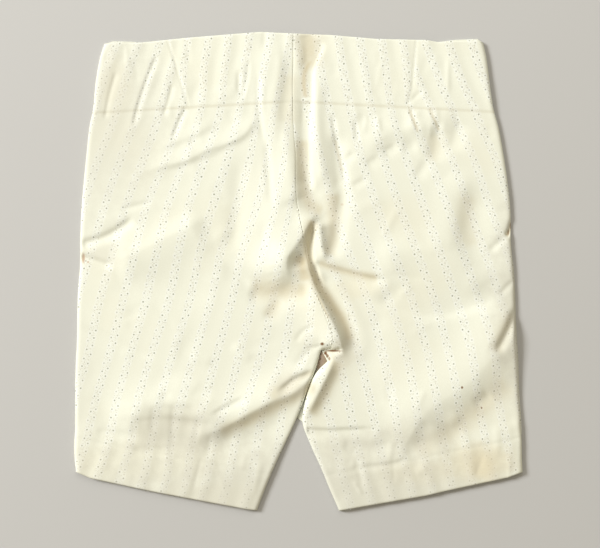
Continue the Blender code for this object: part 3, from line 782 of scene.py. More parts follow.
# %% Mesh and wall
def grid_mesh(name, x, y, z, face_up=True, closed=False):
    """A mesh of quads over a grid of points in millimetres, closed round if asked. All
    faces turn over if the first one doesn't face the way that is asked."""
    points = np.stack([x, y, z], axis=-1).reshape(-1, 3) * MM
    corner = np.arange(x.size).reshape(x.shape)
    if closed:
        corner = np.hstack([corner, corner[:, :1]])
    quads = np.stack([corner[:-1, :-1], corner[1:, :-1], corner[1:, 1:], corner[:-1, 1:]], axis=-1)
    quads = quads.reshape(-1, 4)
    first = points[quads[0]]
    if (np.cross(first[1] - first[0], first[2] - first[0])[2] > 0.0) != face_up:
        quads = quads[:, ::-1]
    mesh = bpy.data.meshes.new(name)
    mesh.vertices.add(len(points))
    mesh.vertices.foreach_set("co", points.ravel())
    mesh.loops.add(quads.size)
    mesh.loops.foreach_set("vertex_index", quads.ravel())
    mesh.polygons.add(len(quads))
    mesh.polygons.foreach_set("loop_start", np.arange(len(quads)) * 4)
    mesh.update(calc_edges=True)
    mesh.polygons.foreach_set("use_smooth", np.ones(len(quads), dtype=bool))
    return mesh


def set_uv(mesh, name, u, v):
    """Write a UV map from one pair of values for each point."""
    layer = mesh.uv_layers.new(name=name)
    corner = np.empty(len(mesh.loops), dtype=int)
    mesh.loops.foreach_get("vertex_index", corner)
    pairs = np.stack([np.ravel(u), np.ravel(v)], axis=-1)[corner]
    layer.data.foreach_set("uv", pairs.ravel())


def set_soil_and_shade(mesh, x, y, waist):
    """Write the share of dirt and painted shade at each point as the mesh's own attribute."""
    line = (waist - WAIST_FACING_DEPTH - FACING_SOIL_AND_SHADE_BELOW) / FACING_SOIL_AND_SHADE_WIDTH
    soil_and_shade = np.maximum(soil_and_shade_amount(x, y), FACING_SOIL_AND_SHADE * np.exp(-line ** 2))
    layer = mesh.attributes.new(name="soil_and_shade", type="FLOAT", domain="POINT")
    layer.data.foreach_set("value", np.ravel(soil_and_shade))


def add_cloth(name, mesh, material, thickness=CLOTH):
    """Link a sheet of cloth and give it a wall under its face."""
    mesh.materials.append(material)
    obj = bpy.data.objects.new(name, mesh)
    bpy.context.scene.collection.objects.link(obj)
    wall = obj.modifiers.new("Wall", "SOLIDIFY")
    wall.thickness = thickness * MM
    wall.offset = -1.0
    wall.use_even_offset = False
    return obj


print("wall of the cloth in mm:", CLOTH)

# %% [markdown]
# ## Small tools for the materials
#
# Every finish here is made of nodes, with no image. Adding nodes one at a time
# makes long code, so a few helpers each add one node or a short chain, and hand
# back the socket that carries its result.

# %% Node helpers
# An oval is whole up to its core and gone at its reach, as shares of its half width
OVAL_CORE = 0.3
OVAL_REACH = 1.1
OVAL_RAGGED = 0.8


def wire(tree, value, socket):
    """Join a socket to another socket, or set it to a number."""
    if isinstance(value, bpy.types.NodeSocket):
        tree.links.new(value, socket)
    else:
        socket.default_value = value


def maths(tree, operation, *values, clamp=False):
    """One math node, with its result."""
    node = tree.nodes.new("ShaderNodeMath")
    node.operation = operation
    node.use_clamp = clamp
    for value, socket in zip(values, node.inputs):
        wire(tree, value, socket)
    return node.outputs[0]


def soft_range(tree, value, start, end):
    """Smoothly from 0 at the start to 1 at the end."""
    node = tree.nodes.new("ShaderNodeMapRange")
    node.interpolation_type = "SMOOTHSTEP"
    wire(tree, value, node.inputs["Value"])
    node.inputs["From Min"].default_value = start
    node.inputs["From Max"].default_value = end
    return node.outputs["Result"]


def blend_color(tree, factor, first, second):
    """Mix two colours by a factor."""
    node = tree.nodes.new("ShaderNodeMix")
    node.data_type = "RGBA"
    wire(tree, factor, node.inputs[0])
    wire(tree, first, node.inputs[6])
    wire(tree, second, node.inputs[7])
    return node.outputs[2]


def place_socket(tree):
    """The point's place on the piece in millimetres."""
    source = tree.nodes.new("ShaderNodeTexCoord").outputs["Object"]
    scale = tree.nodes.new("ShaderNodeVectorMath")
    scale.operation = "SCALE"
    tree.links.new(source, scale.inputs[0])
    scale.inputs["Scale"].default_value = 1.0 / MM
    return scale.outputs["Vector"]


def noise(tree, place, size, detail=2.0, roughness=0.5):
    """Noise with blotches of about a size in millimetres."""
    node = tree.nodes.new("ShaderNodeTexNoise")
    tree.links.new(place, node.inputs["Vector"])
    node.inputs["Scale"].default_value = 1.0 / size
    node.inputs["Detail"].default_value = detail
    node.inputs["Roughness"].default_value = roughness
    return node.outputs["Fac"]


def patch(tree, place, x, y, width, height, ragged):
    """1 in the middle of an oval and 0 outside it, with a ragged soft edge: the distance
    from the middle in half widths, plus noise, through a soft range."""
    move = tree.nodes.new("ShaderNodeVectorMath")
    move.operation = "SUBTRACT"
    tree.links.new(place, move.inputs[0])
    move.inputs[1].default_value = (x, y, 0.0)
    shrink = tree.nodes.new("ShaderNodeVectorMath")
    shrink.operation = "MULTIPLY"
    tree.links.new(move.outputs[0], shrink.inputs[0])
    shrink.inputs[1].default_value = (1.0 / width, 1.0 / height, 0.0)
    length = tree.nodes.new("ShaderNodeVectorMath")
    length.operation = "LENGTH"
    tree.links.new(shrink.outputs[0], length.inputs[0])
    uneven = maths(tree, "MULTIPLY_ADD", ragged, OVAL_RAGGED, -OVAL_RAGGED / 2.0)
    distance = maths(tree, "ADD", length.outputs["Value"], uneven)
    outside = soft_range(tree, distance, OVAL_CORE, OVAL_REACH)
    return maths(tree, "SUBTRACT", 1.0, outside, clamp=True)


print("an oval 20 mm wide is whole for", 20.0 * OVAL_CORE, "mm")

# %% [markdown]
# ## The striped cotton
#
# The cloth is a creamy cotton. Each stripe is a paler band that holds two
# columns of fine grey dots, and the two columns are out of step. A photo of the
# cloth could be mapped on it, but one repeat is easy to chart with math nodes,
# and it stays sharp. It reads the UV map, so the stripes follow every fold.

# %% Colours and sizes of the stripe
GROUND = (0.846, 0.863, 0.745, 1.0)
BAND = (0.880, 0.909, 0.825, 1.0)
HALO = (0.93, 0.955, 0.90, 1.0)
DOT = (0.27, 0.29, 0.19, 1.0)
PEPPER = (0.56, 0.54, 0.43, 1.0)
HALO_STRENGTH = 0.75
DOT_STRENGTH = 0.85
PEPPER_STRENGTH = 0.8
# As shares of the stripe's pitch
BAND_HALF = 0.19
BAND_EDGE_OUT = 0.05
BAND_EDGE_IN = 0.03
DOT_COLUMN = 0.115
WOBBLE = 0.05
# In millimetres
STRIPE_PITCH = 16.2
WOBBLE_SIZE = 7.0
SPECK_SIZE = 0.9
PEPPER_SIZE = 0.8
DOT_REACH = 0.95
DOT_CORE = 0.3
HALO_REACH = 2.0
HALO_CORE = 0.8
NUDGE_ACROSS = 0.5
NUDGE_ALONG = 0.8
print("a pale band is", round(2.0 * BAND_HALF * STRIPE_PITCH, 1), "mm wide")

# %% One repeat of the stripe
def nudged(tree, distance, chance, reach):
    """A distance plus a random share of a reach, either way."""
    return maths(tree, "ADD", distance, maths(tree, "MULTIPLY_ADD", chance, 2.0 * reach, -reach))


def stripe_color(tree, place):
    """Ground, paler band and two columns of dots, from the grain's UV map: the part of the
    stripe number past the whole number gives the place across a stripe, and the same
    part of the other coordinate gives the place between two dots."""
    uv = tree.nodes.new("ShaderNodeUVMap")
    uv.uv_map = "grain"
    split = tree.nodes.new("ShaderNodeSeparateXYZ")
    tree.links.new(uv.outputs["UV"], split.inputs[0])
    stripe, along = split.outputs[0], split.outputs[1]
    wobble = noise(tree, place, WOBBLE_SIZE)
    wobble = maths(tree, "MULTIPLY_ADD", wobble, WOBBLE, -WOBBLE / 2.0)
    shifted = maths(tree, "ADD", maths(tree, "ADD", stripe, 0.5), wobble)
    across = maths(tree, "SUBTRACT", maths(tree, "FRACT", shifted), 0.5)
    band = maths(tree, "ABSOLUTE", across)
    band = soft_range(tree, band, BAND_HALF + BAND_EDGE_OUT, BAND_HALF - BAND_EDGE_IN)
    speck = soft_range(tree, noise(tree, place, SPECK_SIZE, 1.0), 0.35, 0.65)
    band = maths(tree, "MULTIPLY", band, maths(tree, "MULTIPLY_ADD", speck, 0.5, 0.5))
    color = blend_color(tree, band, GROUND, BAND)
    grains = soft_range(tree, noise(tree, place, PEPPER_SIZE, 0.0), 0.57, 0.70)
    grains = maths(tree, "MULTIPLY", grains, band)
    color = blend_color(tree, maths(tree, "MULTIPLY", grains, PEPPER_STRENGTH), color, PEPPER)
    for side, step in ((DOT_COLUMN, 0.0), (-DOT_COLUMN, 0.5)):
        moved = maths(tree, "ADD", along, step)
        number = tree.nodes.new("ShaderNodeCombineXYZ")
        tree.links.new(maths(tree, "FLOOR", shifted), number.inputs[0])
        tree.links.new(maths(tree, "FLOOR", moved), number.inputs[1])
        number.inputs[2].default_value = step
        chance = tree.nodes.new("ShaderNodeTexWhiteNoise")
        tree.links.new(number.outputs[0], chance.inputs["Vector"])
        shift = tree.nodes.new("ShaderNodeSeparateColor")
        tree.links.new(chance.outputs["Color"], shift.inputs[0])
        off_across = maths(tree, "MULTIPLY", maths(tree, "SUBTRACT", across, side), STRIPE_PITCH)
        off_across = nudged(tree, off_across, shift.outputs[0], NUDGE_ACROSS)
        off_along = maths(tree, "SUBTRACT", maths(tree, "FRACT", moved), 0.5)
        off_along = maths(tree, "MULTIPLY", off_along, DOT_STEP)
        off_along = nudged(tree, off_along, shift.outputs[1], NUDGE_ALONG)
        square = maths(tree, "MULTIPLY", off_across, off_across)
        distance = maths(tree, "SQRT", maths(tree, "MULTIPLY_ADD", off_along, off_along, square))
        strength = soft_range(tree, chance.outputs["Value"], -1.0, 0.9)
        halo = soft_range(tree, distance, HALO_REACH, HALO_CORE)
        color = blend_color(tree, maths(tree, "MULTIPLY", halo, HALO_STRENGTH), color, HALO)
        dot = maths(tree, "MULTIPLY", soft_range(tree, distance, DOT_REACH, DOT_CORE), strength)
        color = blend_color(tree, maths(tree, "MULTIPLY", dot, DOT_STRENGTH), color, DOT)
    return color


print("pitch of the stripes in mm:", STRIPE_PITCH)

# %% [markdown]
# ## Wear, stains, marks and painted shade
#
# Age yellowed the cloth in patches. There are rust spots at the left side and in the
# seat, and two dark specks on the right leg. Painted shade greys the cloth toward the
# hems and the sides and in some hollows, and darkens the creases where the crotch seams
# meet and a notch at the right side. Painting them on an image would give more detail,
# but soft ovals with a ragged edge are enough at this size. Each is one row of a table.

# %% Places of the stains and the painted shade
# Yellow of age, also laid over the hems as painted shade
AGED_AND_SHADE_TINT = (0.80, 0.72, 0.50, 1.0)
RUST = (0.45, 0.20, 0.07, 1.0)
# Columns: x, y, half width, half height, strength
STAINS_AND_HEM_SHADE = (
    (134, -142, 34, 18, 0.50),
    (137, -146, 12, 14, 0.60),
    (92, -150, 40, 12, 0.25),
    (-138, 140, 16, 26, 0.22),
    (44, -12, 24, 12, 0.22),
    (30, -62, 14, 12, 0.25),
    (80, 40, 26, 20, 0.12),
    # These two rows grey the hems: painted shade, as the light falls off toward them
    (-110, -140, 80, 24, 0.16),
    (-60, -168, 50, 16, 0.16),
)
RUST_SPOTS = (
    (-160.5, 9.5, 1.6, 5, 0.55),
    (-157, 7, 1.2, 1.2, 0.5),
    (32.5, 50, 1.6, 1.3, 0.25),
)
# Painted shade: greyer toward the hems and the sides, where the light falls off, and in
# hollows beside folds. Columns: x, y, half width, half height, strength
PAINTED_SHADE_AREAS = (
    (0, -178, 230, 68, 0.60),
    (176, -20, 40, 110, 0.65),
    (-150, 120, 66, 96, 0.42),
    (-175, -90, 40, 90, 0.20),
    (-144, 13, 22, 12, 0.25),
    (-88, -118, 52, 24, 0.50),
    (-4, -84, 18, 14, 0.40),
    (37, -58, 14, 16, 0.40),
    (152, -60, 12, 16, 0.35),
    (92, -120, 30, 28, 0.25),
    (46, -127, 36, 12, 0.35),
)
# Grey of the painted shade
PAINTED_SHADE_GREY = (0.66, 0.65, 0.56, 1.0)
# Brown of dirt, and of painted shade at the foot of folds
SOIL_AND_SHADE = (0.60, 0.50, 0.30, 1.0)
# Dark marks: painted shade in the creases where the crotch seams meet and in a notch
# at the right side, and two specks on the right leg
CREASE_SHADE_AND_SPECKS = (
    (17.6, -54, 1.9, 1.7, 1),
    (26, -59.2, 8, 1.1, 0.95),
    (20.2, -60.8, 1.5, 1.8, 0.9),
    (21.6, -62.9, 1.3, 1.7, 0.85),
    (23, -65, 1, 1.6, 0.7),
    (158.4, 34, 1, 2.8, 0.6),
    (156.6, 29, 1, 3, 0.6),
    (121.5, -86.2, 1.1, 1.1, 0.9),
    (136.5, -101.6, 0.9, 1.1, 0.8),
)
# Painted shade in brown inside the crotch's recess: x, y, half width, half height, strength
CROTCH_PAINTED_SHADE = (17.0, -67.0, 12.0, 16.0, 0.75)
# Dark brown of painted shade in the crotch and the notch, and of the two specks
BROWN_SHADE_AND_SPECKS = (0.20, 0.09, 0.03, 1.0)
OVALS = ((STAINS_AND_HEM_SHADE, AGED_AND_SHADE_TINT), (PAINTED_SHADE_AREAS, PAINTED_SHADE_GREY), (RUST_SPOTS, RUST), (CREASE_SHADE_AND_SPECKS, BROWN_SHADE_AND_SPECKS))
# Sizes of the blotches in millimetres
RAGGED_SIZE = 9.0
FAINT_SIZE = 60.0
CROTCH_RAGGED_SIZE = 4.0
FAINT_STRENGTH = 0.12
print("ovals of wear:", sum(len(table) for table, _ in OVALS))

# %% Wear and painted shade over a colour
def spots(tree, place, ragged, color, table, tint):
    """Ragged ovals of a tint over a colour, one for each row of a table."""
    for x, y, width, height, strength in table:
        spot = patch(tree, place, x, y, width, height, ragged)
        color = blend_color(tree, maths(tree, "MULTIPLY", spot, strength), color, tint)
    return color


def wear_and_painted_shade(tree, place, color):
    """Dirt and painted shade from the mesh's attribute, faint yellowing, and the ovals of every table.
    """
    ragged = noise(tree, place, RAGGED_SIZE, 4.0, 0.6)
    # Brown from the mesh's attribute: dirt, and painted shade at the foot of folds
    soil_and_shade = tree.nodes.new("ShaderNodeAttribute")
    soil_and_shade.attribute_name = "soil_and_shade"
    uneven = maths(tree, "MULTIPLY_ADD", ragged, 0.9, 0.55)
    color = blend_color(tree, maths(tree, "MULTIPLY", soil_and_shade.outputs["Fac"], uneven), color, SOIL_AND_SHADE)
    faint = soft_range(tree, noise(tree, place, FAINT_SIZE, 3.0), 0.45, 0.75)
    color = blend_color(tree, maths(tree, "MULTIPLY", faint, FAINT_STRENGTH), color, AGED_AND_SHADE_TINT)
    for table, tint in OVALS:
        color = spots(tree, place, ragged, color, table, tint)
    return color


print("wear is laid over a colour in", len(OVALS) + 2, "kinds")

# %% [markdown]
# ## The finished materials
#
# All the cloth is the same matt cotton with a fine weave, in three colourings: the
# striped face, the stripe darkened by painted shade in brown inside the crotch, and the
# plain facings. The thread is a fourth. Four separate materials could be built by hand,
# but here one function builds them all, and each gets its colour from another function.

# %% Materials
LINING = (0.84, 0.80, 0.66, 1.0)
THREAD = (0.93, 0.92, 0.86, 1.0)
FLECK = 0.14
FLECK_SIZE = 0.55
WEAVE_SIZE = 0.8
WEAVE_DEPTH = 0.1


def cloth_material(name, make_color):
    """Matt cotton, flecked and rough as a fine weave is, in a colour made by other nodes."""
    material = bpy.data.materials.new(name)
    material.use_nodes = True
    tree = material.node_tree
    shader = tree.nodes["Principled BSDF"]
    place = place_socket(tree)
    color = make_color(tree, place)
    fleck = noise(tree, place, FLECK_SIZE, 1.0)
    fleck = maths(tree, "MULTIPLY_ADD", fleck, FLECK, 1.0 - FLECK / 2.0)
    darken = tree.nodes.new("ShaderNodeVectorMath")
    darken.operation = "SCALE"
    tree.links.new(color, darken.inputs[0])
    tree.links.new(fleck, darken.inputs["Scale"])
    tree.links.new(darken.outputs["Vector"], shader.inputs["Base Color"])
    shader.inputs["Roughness"].default_value = 0.9
    shader.inputs["Specular IOR Level"].default_value = 0.2
    shader.inputs["Sheen Weight"].default_value = 0.06
    shader.inputs["Sheen Roughness"].default_value = 0.5
    bump = tree.nodes.new("ShaderNodeBump")
    bump.inputs["Strength"].default_value = 0.25
    bump.inputs["Distance"].default_value = WEAVE_DEPTH * MM
    tree.links.new(noise(tree, place, WEAVE_SIZE), bump.inputs["Height"])
    tree.links.new(bump.outputs["Normal"], shader.inputs["Normal"])
    return material


def plain_color(color):
    """A maker of one even colour, with the wear and painted shade over it."""
    def make(tree, place):
        source = tree.nodes.new("ShaderNodeRGB")
        source.outputs[0].default_value = color
        return wear_and_painted_shade(tree, place, source.outputs[0])
    return make


def dark_crotch(tree, place):
    """The striped cotton, with painted shade in brown where it shows inside the crotch's recess."""
    color = wear_and_painted_shade(tree, place, stripe_color(tree, place))
    # Painted shade in brown over the crotch's recess
    spot = patch(tree, place, *CROTCH_PAINTED_SHADE[:4], noise(tree, place, CROTCH_RAGGED_SIZE))
    return blend_color(tree, maths(tree, "MULTIPLY", spot, CROTCH_PAINTED_SHADE[4]), color, BROWN_SHADE_AND_SPECKS)


def striped_face(tree, place):
    """The striped cotton with its wear and painted shade."""
    return wear_and_painted_shade(tree, place, stripe_color(tree, place))


striped_cotton = cloth_material("striped_cotton", striped_face)
plain_cotton = cloth_material("plain_cotton", plain_color(LINING))
inner_cotton = cloth_material("inner_cotton", dark_crotch)
white_thread = cloth_material("white_thread", plain_color(THREAD))
print("cotton material has", len(striped_cotton.node_tree.nodes), "nodes")

# %% [markdown]
# ## The two backs
#
# A tailor cuts each back in one piece from the waist to the hem and sews the two
# along the centre seam. They could be sculpted by hand, but a formula can be
# changed and run again. Each is a grid here, fine enough for its creases.

# %% Back panels
pieces = {}
for half in HALVES:
    x, y, z, waist, hem = back_surface(half)
    z = z + stripe_ripple(half, x, y, waist, hem)
    mesh = grid_mesh("back_" + half + "_cloth", x, y, z)
    set_uv(mesh, "grain", *grain_map(half, x, y))
    set_soil_and_shade(mesh, x, y, waist)
    piece = add_cloth("back_" + half + "_cloth", mesh, striped_cotton)
    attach(piece, "root")
    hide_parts("back_" + half)
    pieces["back_" + half] = piece
    print(piece.name, x.shape, "points, top at", round(float(z.max()), 2), "mm")

# %% [markdown]
# ## The two fronts
#
# The fronts lie face down under the backs. Almost nothing of them shows: a hair
# at the right side, two short runs at the waist, and a small triangle inside the
# crotch. They could be planes, but they follow the outline, so that a view from
# the side is right. They stay flat where they rest, with one low lift inside the
# crotch, where the cloth stands up.

# %% Front panels
# How far a front's waist lies past the back's: a share of the way in from the side, and a rise
FRONT_WAIST_PAST_BACK = ((0.0, 1.0), (0.15, 1.0), (0.5, -4.0), (1.0, -4.0))
# Where the fronts meet from the waist to the crotch, and the row where the legs part
FRONT_SEAM = ((-3.9, 177.5), (-3.9, 50.0), (9.0, -16.0), (16.8, -59.0))
FORK_ROW = 18
FRONT_SIDE_PEEK = 0.8
FRONT_PEEK_TOP = 10.0
FRONT_PEEK_BOTTOM = -124.0
FRONT_PEEK_FADE = 6.0
FRONT_ROW_STEP = 3.0
FRONT_COLUMNS = 64
FRONT_SEAM_CLEARANCE = 0.1
# The low lift, with the columns of a fold
CROTCH_LIFT = (1.0, 6.0, 6.0, 5.0, 5.0, ((23.0, -58.0), (19.0, -66.0), (13.0, -76.0)))


def front_surface(half):
    """Points of one front panel: flat, with a low lift inside the crotch."""
    rows = section_lines(half, FRONT_ROW_STEP, lips=(0.0, 0.5))
    seam = np.array(FRONT_SEAM)
    upper = rows[:, 3] > HALVES["left"][CROTCH_ROW + 1][3]
    rows[upper, 2] = np.interp(-rows[upper, 3], -seam[:, 1], seam[:, 0])
    left = np.array(LEFT_HALF)
    fork = (~upper) & (rows[:, 3] > left[FORK_ROW, 3])
    rows[fork, 2] = np.interp(-rows[fork, 3], -left[CROTCH_ROW + 1:, 3], left[CROTCH_ROW + 1:, 2])
    rows[:, 2] += SIGN[half] * FRONT_SEAM_CLEARANCE
    if half == "right":
        shown = smooth_step((FRONT_PEEK_TOP - rows[:, 1]) / FRONT_PEEK_FADE)
        shown = shown * smooth_step((rows[:, 1] - FRONT_PEEK_BOTTOM) / FRONT_PEEK_FADE)
        rows[:, 0] += FRONT_SIDE_PEEK * shown
    share = np.repeat(np.linspace(0.0, 1.0, FRONT_COLUMNS)[None, :], len(rows), axis=0)
    past_back = np.interp(share[0], *np.array(FRONT_WAIST_PAST_BACK).T)
    back_bow = np.interp(share[0], *np.array(WAIST_BOW[half]).T)
    bow = np.stack([share[0], back_bow + past_back], axis=-1)
    x, y, _, _ = bowed(rows, share, half, bow)
    return x, y, FRONT_TOP + fold_height(CROTCH_LIFT, x, y)


for half in HALVES:
    x, y, z = front_surface(half)
    mesh = grid_mesh("front_" + half + "_cloth", x, y, z)
    set_uv(mesh, "grain", *grain_map(half, x, y))
    piece = add_cloth("front_" + half + "_cloth", mesh, inner_cotton)
    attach(piece, "root")
    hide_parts("front_" + half)
    pieces["front_" + half] = piece
    print(piece.name, x.shape, "points")

# %% [markdown]
# ## The facings
#
# A facing is a strip sewn inside an edge to stiffen it. The waist facing is a
# flat strip under the back. A hem band goes all round inside the leg, so here
# it is a flattened tube. We see neither from above, only the print of its edge.
# They could be left out of the picture, but the real garment has them.

# %% Shapes of the facings
FACING_INSET = 6.5
FACING_EDGE = 1.0
EDGE_POINTS = 60
EDGE_ROW_STEP = 5.0
FACING_ROWS = 14
FACING_COLUMNS = 90
BAND_ROWS = 9
BAND_RUN_POINTS = 40
TURN_POINTS = 5


def edge_x(half, column, y):
    """X of a side edge or an inner edge at a height y on the garment."""
    table = np.array(HALVES[half])
    return np.interp(-y, -table[:, column + 1], table[:, column])


def waist_facing_surface():
    """Points of a flat strip that follows the waist edge."""
    share = np.repeat(np.linspace(0.0, 1.0, EDGE_POINTS)[None, :], 2, axis=0)
    rows = {half: section_lines(half, EDGE_ROW_STEP)[:2] for half in HALVES}
    outline = [bowed(rows[half], share, half, WAIST_BOW[half]) for half in HALVES]
    edge = np.concatenate([outline[0][0][0], outline[1][0][0][-2::-1]])
    rise = np.concatenate([outline[0][1][0], outline[1][1][0][-2::-1]])
    depth = np.linspace(FACING_EDGE, WAIST_FACING_DEPTH, FACING_ROWS)[:, None]
    left = edge_x("left", 0, rise[0] - depth) + FACING_INSET
    right = edge_x("right", 0, rise[-1] - depth) - FACING_INSET
    x = left + (right - left) * np.linspace(0.0, 1.0, FACING_COLUMNS)[None, :]
    y = np.interp(x[0], edge, rise)[None, :] - depth
    return x, y, np.full_like(x, LOWER_FACING_TOP)


def hem_band_surface(half):
    """Points of a flattened tube: two flat runs joined by half rounds, whose place across
    is the cosine of a turn and whose height is its sine, times half of the tube's height."""
    side, inner = np.array(HALVES[half])[-1, :2], np.array(HALVES[half])[-1, 2:]
    depth = np.linspace(FACING_EDGE, HEM_FACING_DEPTH, BAND_ROWS)
    side_y, inner_y = side[1] + depth, inner[1] + depth
    side_x = edge_x(half, 0, side_y) - SIGN[half] * FACING_INSET
    inner_x = edge_x(half, 2, inner_y) + SIGN[half] * FACING_INSET
    radius = (UPPER_FACING_TOP + CLOTH - LOWER_FACING_TOP) / 2.0
    run = np.linspace(0.0, 1.0, BAND_RUN_POINTS)
    turn = np.linspace(-0.5, 0.5, TURN_POINTS + 2)[1:-1] * np.pi
    share = np.concatenate([run, np.ones(TURN_POINTS), run[::-1], np.zeros(TURN_POINTS)])
    level = np.zeros_like(run)
    bulge = np.concatenate([level, np.cos(turn), level, -np.cos(turn)]) * radius
    height = np.concatenate([level - 1.0, np.sin(turn), level + 1.0, -np.sin(turn)]) * radius
    place = share[None, :] + bulge[None, :] / np.abs(inner_x - side_x)[:, None]
    x = side_x[:, None] + (inner_x - side_x)[:, None] * place
    y = side_y[:, None] + (inner_y - side_y)[:, None] * place
    y = y + np.interp(share, *np.array(HEM_BOW[half]).T)[None, :]
    middle = (UPPER_FACING_TOP + LOWER_FACING_TOP - CLOTH) / 2.0
    z = np.repeat(height[None, :] + middle, len(depth), axis=0)
    return x, y, z


print("a hem band has", 2 * (BAND_RUN_POINTS + TURN_POINTS), "points round it")

# %% Waist facing and hem bands
mesh = grid_mesh("waist_facing_cloth", *waist_facing_surface())
pieces["waist_facing"] = add_cloth("waist_facing_cloth", mesh, plain_cotton)
for half in HALVES:
    name = "hem_facing_" + half
    mesh = grid_mesh(name + "_cloth", *hem_band_surface(half), face_up=False, closed=True)
    pieces[name] = add_cloth(name + "_cloth", mesh, plain_cotton)
for name in ("waist_facing", "hem_facing_left", "hem_facing_right"):
    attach(pieces[name], "root")
    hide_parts(name)
    print(name, "has", len(pieces[name].data.polygons), "faces")

# %% [markdown]
# ## Sewing thread
#
# White hand stitches show along two stretches of the centre seam, one in the seat
# and one above the crotch. A line texture would lie dead flat, so each stitch is
# a short rounded bar that lies on the cloth. One mesh holds them all.

# %% Stitches on the seam
STITCH_STEP = 2.6
STITCH_LENGTH = 1.5
STITCH_RADIUS = 0.30
STITCH_ASIDE = 0.4
STITCH_LIFT = 0.15
BAR_SIDES = 6
# Along a bar: a share of its length, and a share of its radius
BAR_PROFILE = ((0.0, 0.35), (0.12, 0.85), (0.5, 1.0), (0.88, 0.85), (1.0, 0.35))
SEAM_STITCH_PATHS = (
    ((-0.2, 46.0), (1.2, 37.0), (3.6, 27.0)),
    ((13.4, -18.0), (17.1, -25.5), (21.9, -35.1), (23.5, -42.5), (25.1, -48.9), (24.0, -56.4)),
)


def upper_points():
    """Every point of both backs' upper faces in millimetres, one row for each."""
    parts = []
    for half in HALVES:
        mesh = pieces["back_" + half].data
        places = np.empty(len(mesh.vertices) * 3)
        mesh.vertices.foreach_get("co", places)
        parts.append(places.reshape(-1, 3) / MM)
    return np.concatenate(parts)


UPPER_POINTS = upper_points()


def height_at(x, y):
    """Height of the upper face at a place, taken from the nearest point of the backs."""
    gaps = np.hypot(UPPER_POINTS[:, 0] - x, UPPER_POINTS[:, 1] - y)
    return UPPER_POINTS[gaps.argmin(), 2]


def bar_mesh(name, bars, radius):
    """One mesh of six-sided tubes: a point of the middle line, plus the cosine of a turn
    across it and the sine upward, times the radius and its share at that point."""
    start, end = np.array(bars).transpose(1, 0, 2)
    way = (end - start) / np.linalg.norm(end - start, axis=1)[:, None]
    across = np.cross(way, (0.0, 0.0, 1.0))
    across = across / np.linalg.norm(across, axis=1)[:, None]
    up = np.cross(across, way)
    along, size = np.array(BAR_PROFILE).T
    turn = np.linspace(0.0, 2.0 * np.pi, BAR_SIDES, endpoint=False)[None, :, None]
    middle = start[:, None] + (end - start)[:, None] * along[None, :, None]
    circle = across[:, None] * np.cos(turn) + up[:, None] * np.sin(turn)
    points = middle[:, :, None] + circle[:, None] * (radius * size)[None, :, None, None]
    corner = np.arange(points.size // 3).reshape(points.shape[:3])
    follow = np.roll(corner, -1, axis=2)
    sides = np.stack([corner[:, :-1], follow[:, :-1], follow[:, 1:], corner[:, 1:]], axis=-1)
    ends = np.concatenate([corner[:, 0, ::-1], corner[:, -1]])
    mesh = bpy.data.meshes.new(name)
    faces = sides.reshape(-1, 4).tolist() + ends.tolist()
    mesh.from_pydata((points * MM).reshape(-1, 3).tolist(), [], faces)
    mesh.polygons.foreach_set("use_smooth", np.ones(len(faces), dtype=bool))
    return mesh


def seam_bars():
    """Bars that lie along the seam, one each few millimetres and a hair to the left of it."""
    bars = []
    for path in SEAM_STITCH_PATHS:
        places = rounded_path(path, STITCH_STEP)
        for first, second in zip(places, places[1:]):
            reach = (second - first) / np.hypot(*(second - first)) * STITCH_LENGTH / 2.0
            middle = first - np.array([STITCH_ASIDE, 0.0])
            ends = (middle - reach, middle + reach)
            bars.append([(*spot, height_at(*spot) + STITCH_LIFT) for spot in ends])
    return bars


def add_thread(name, bars, radius):
    """Link a mesh of thread bars and let it ride with the cloth."""
    mesh = bar_mesh(name, bars, radius)
    mesh.materials.append(white_thread)
    obj = bpy.data.objects.new(name, mesh)
    bpy.context.scene.collection.objects.link(obj)
    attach(obj, "root")
    return obj


seam_stitches = add_thread("seam_stitches", seam_bars(), STITCH_RADIUS)
bar_points = BAR_SIDES * len(BAR_PROFILE)
print("seam stitches:", len(seam_stitches.data.vertices) // bar_points)

# %% [markdown]
# ## The floor
#
# The garment lies on something flat, which catches its shadow. A curved studio
# backdrop would do too, but one large pale square is enough for a view from
# above. It is part of the stage and not of the garment.

# %% Floor
FLOOR_SIZE = 3.0
FLOOR_COLOR = (0.55, 0.55, 0.54, 1.0)
half_floor = FLOOR_SIZE / 2.0
floor_mesh = bpy.data.meshes.new("floor")
floor_mesh.from_pydata(
    [(-half_floor, -half_floor, 0.0), (half_floor, -half_floor, 0.0),
     (half_floor, half_floor, 0.0), (-half_floor, half_floor, 0.0)], [], [(0, 1, 2, 3)])
floor = bpy.data.objects.new("floor", floor_mesh)
bpy.context.scene.collection.objects.link(floor)
floor_material = bpy.data.materials.new("pale_floor")
floor_material.use_nodes = True
floor_shader = floor_material.node_tree.nodes["Principled BSDF"]
floor_shader.inputs["Base Color"].default_value = FLOOR_COLOR
floor_shader.inputs["Roughness"].default_value = 0.8
floor_mesh.materials.append(floor_material)
print("floor in metres:", FLOOR_SIZE)

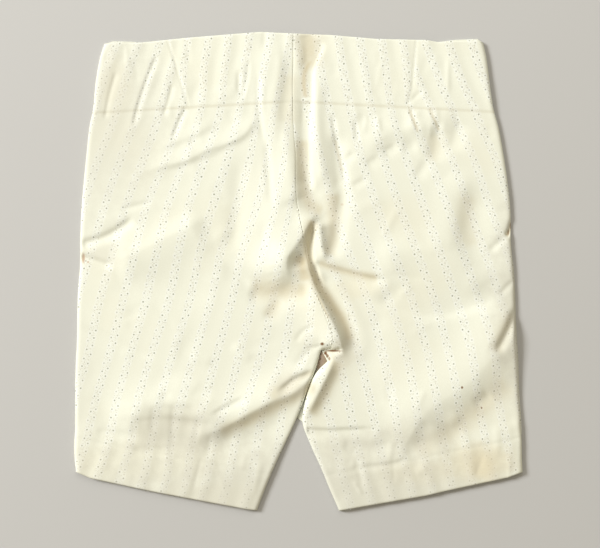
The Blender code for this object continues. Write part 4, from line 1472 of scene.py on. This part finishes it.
# %% [markdown]
# ## The light
#
# Folds are seen by their shade, so the light matters as much as their shape. One
# large soft light stands low at the left and a little toward the waist, and it
# models the folds. A weak one beyond the waist and an even warm sky fill the
# shadows. An image of a studio could light it, but this is simpler to steer.

# %% Light
# Columns: name, place, size, power
LIGHTS = (
    ("key", (-3.30, 1.33, 2.10), 1.2, 182.5),
    ("top_fill", (0.10, 0.90, 0.90), 0.8, 3.2),
)
SKY_COLOR = (1.0, 0.90, 0.71, 1.0)
SKY_STRENGTH = 0.41


def add_light(name, place, size, power):
    """A square area light that faces the garment."""
    data = bpy.data.lights.new(name, "AREA")
    data.size = size
    data.energy = power
    lamp = bpy.data.objects.new(name, data)
    lamp.location = place
    lamp.rotation_euler = (-Vector(place)).to_track_quat("-Z", "Y").to_euler()
    bpy.context.scene.collection.objects.link(lamp)


for light in LIGHTS:
    add_light(*light)
world = bpy.data.worlds.new("studio")
world.use_nodes = True
sky = world.node_tree.nodes["Background"]
sky.inputs["Color"].default_value = SKY_COLOR
sky.inputs["Strength"].default_value = SKY_STRENGTH
bpy.context.scene.world = world
bpy.context.scene.view_settings.view_transform = "Standard"
print("lights:", len(LIGHTS), "and a sky of strength", SKY_STRENGTH)

# %% [markdown]
# ## The camera
#
# The camera looks straight down at the middle of the garment. A parallel camera
# would do, but a long lens from more than a metre away is what a photographer
# has, and it is nearly parallel. Its distance follows from the width of view.

# %% Camera
VIEW_CENTRE = (1.1, -1.9)
VIEW_WIDTH = 447.3
LENS = 100.0
SENSOR = 36.0
CLOTH_LEVEL = 3.0
camera_data = bpy.data.cameras.new("camera")
camera_data.lens = LENS
camera_data.sensor_width = SENSOR
camera = bpy.data.objects.new("camera", camera_data)
distance = VIEW_WIDTH * LENS / SENSOR
camera.location = (VIEW_CENTRE[0] * MM, VIEW_CENTRE[1] * MM, (distance + CLOTH_LEVEL) * MM)
bpy.context.scene.collection.objects.link(camera)
bpy.context.scene.camera = camera
print("camera height in mm:", round(camera.location.z / MM))
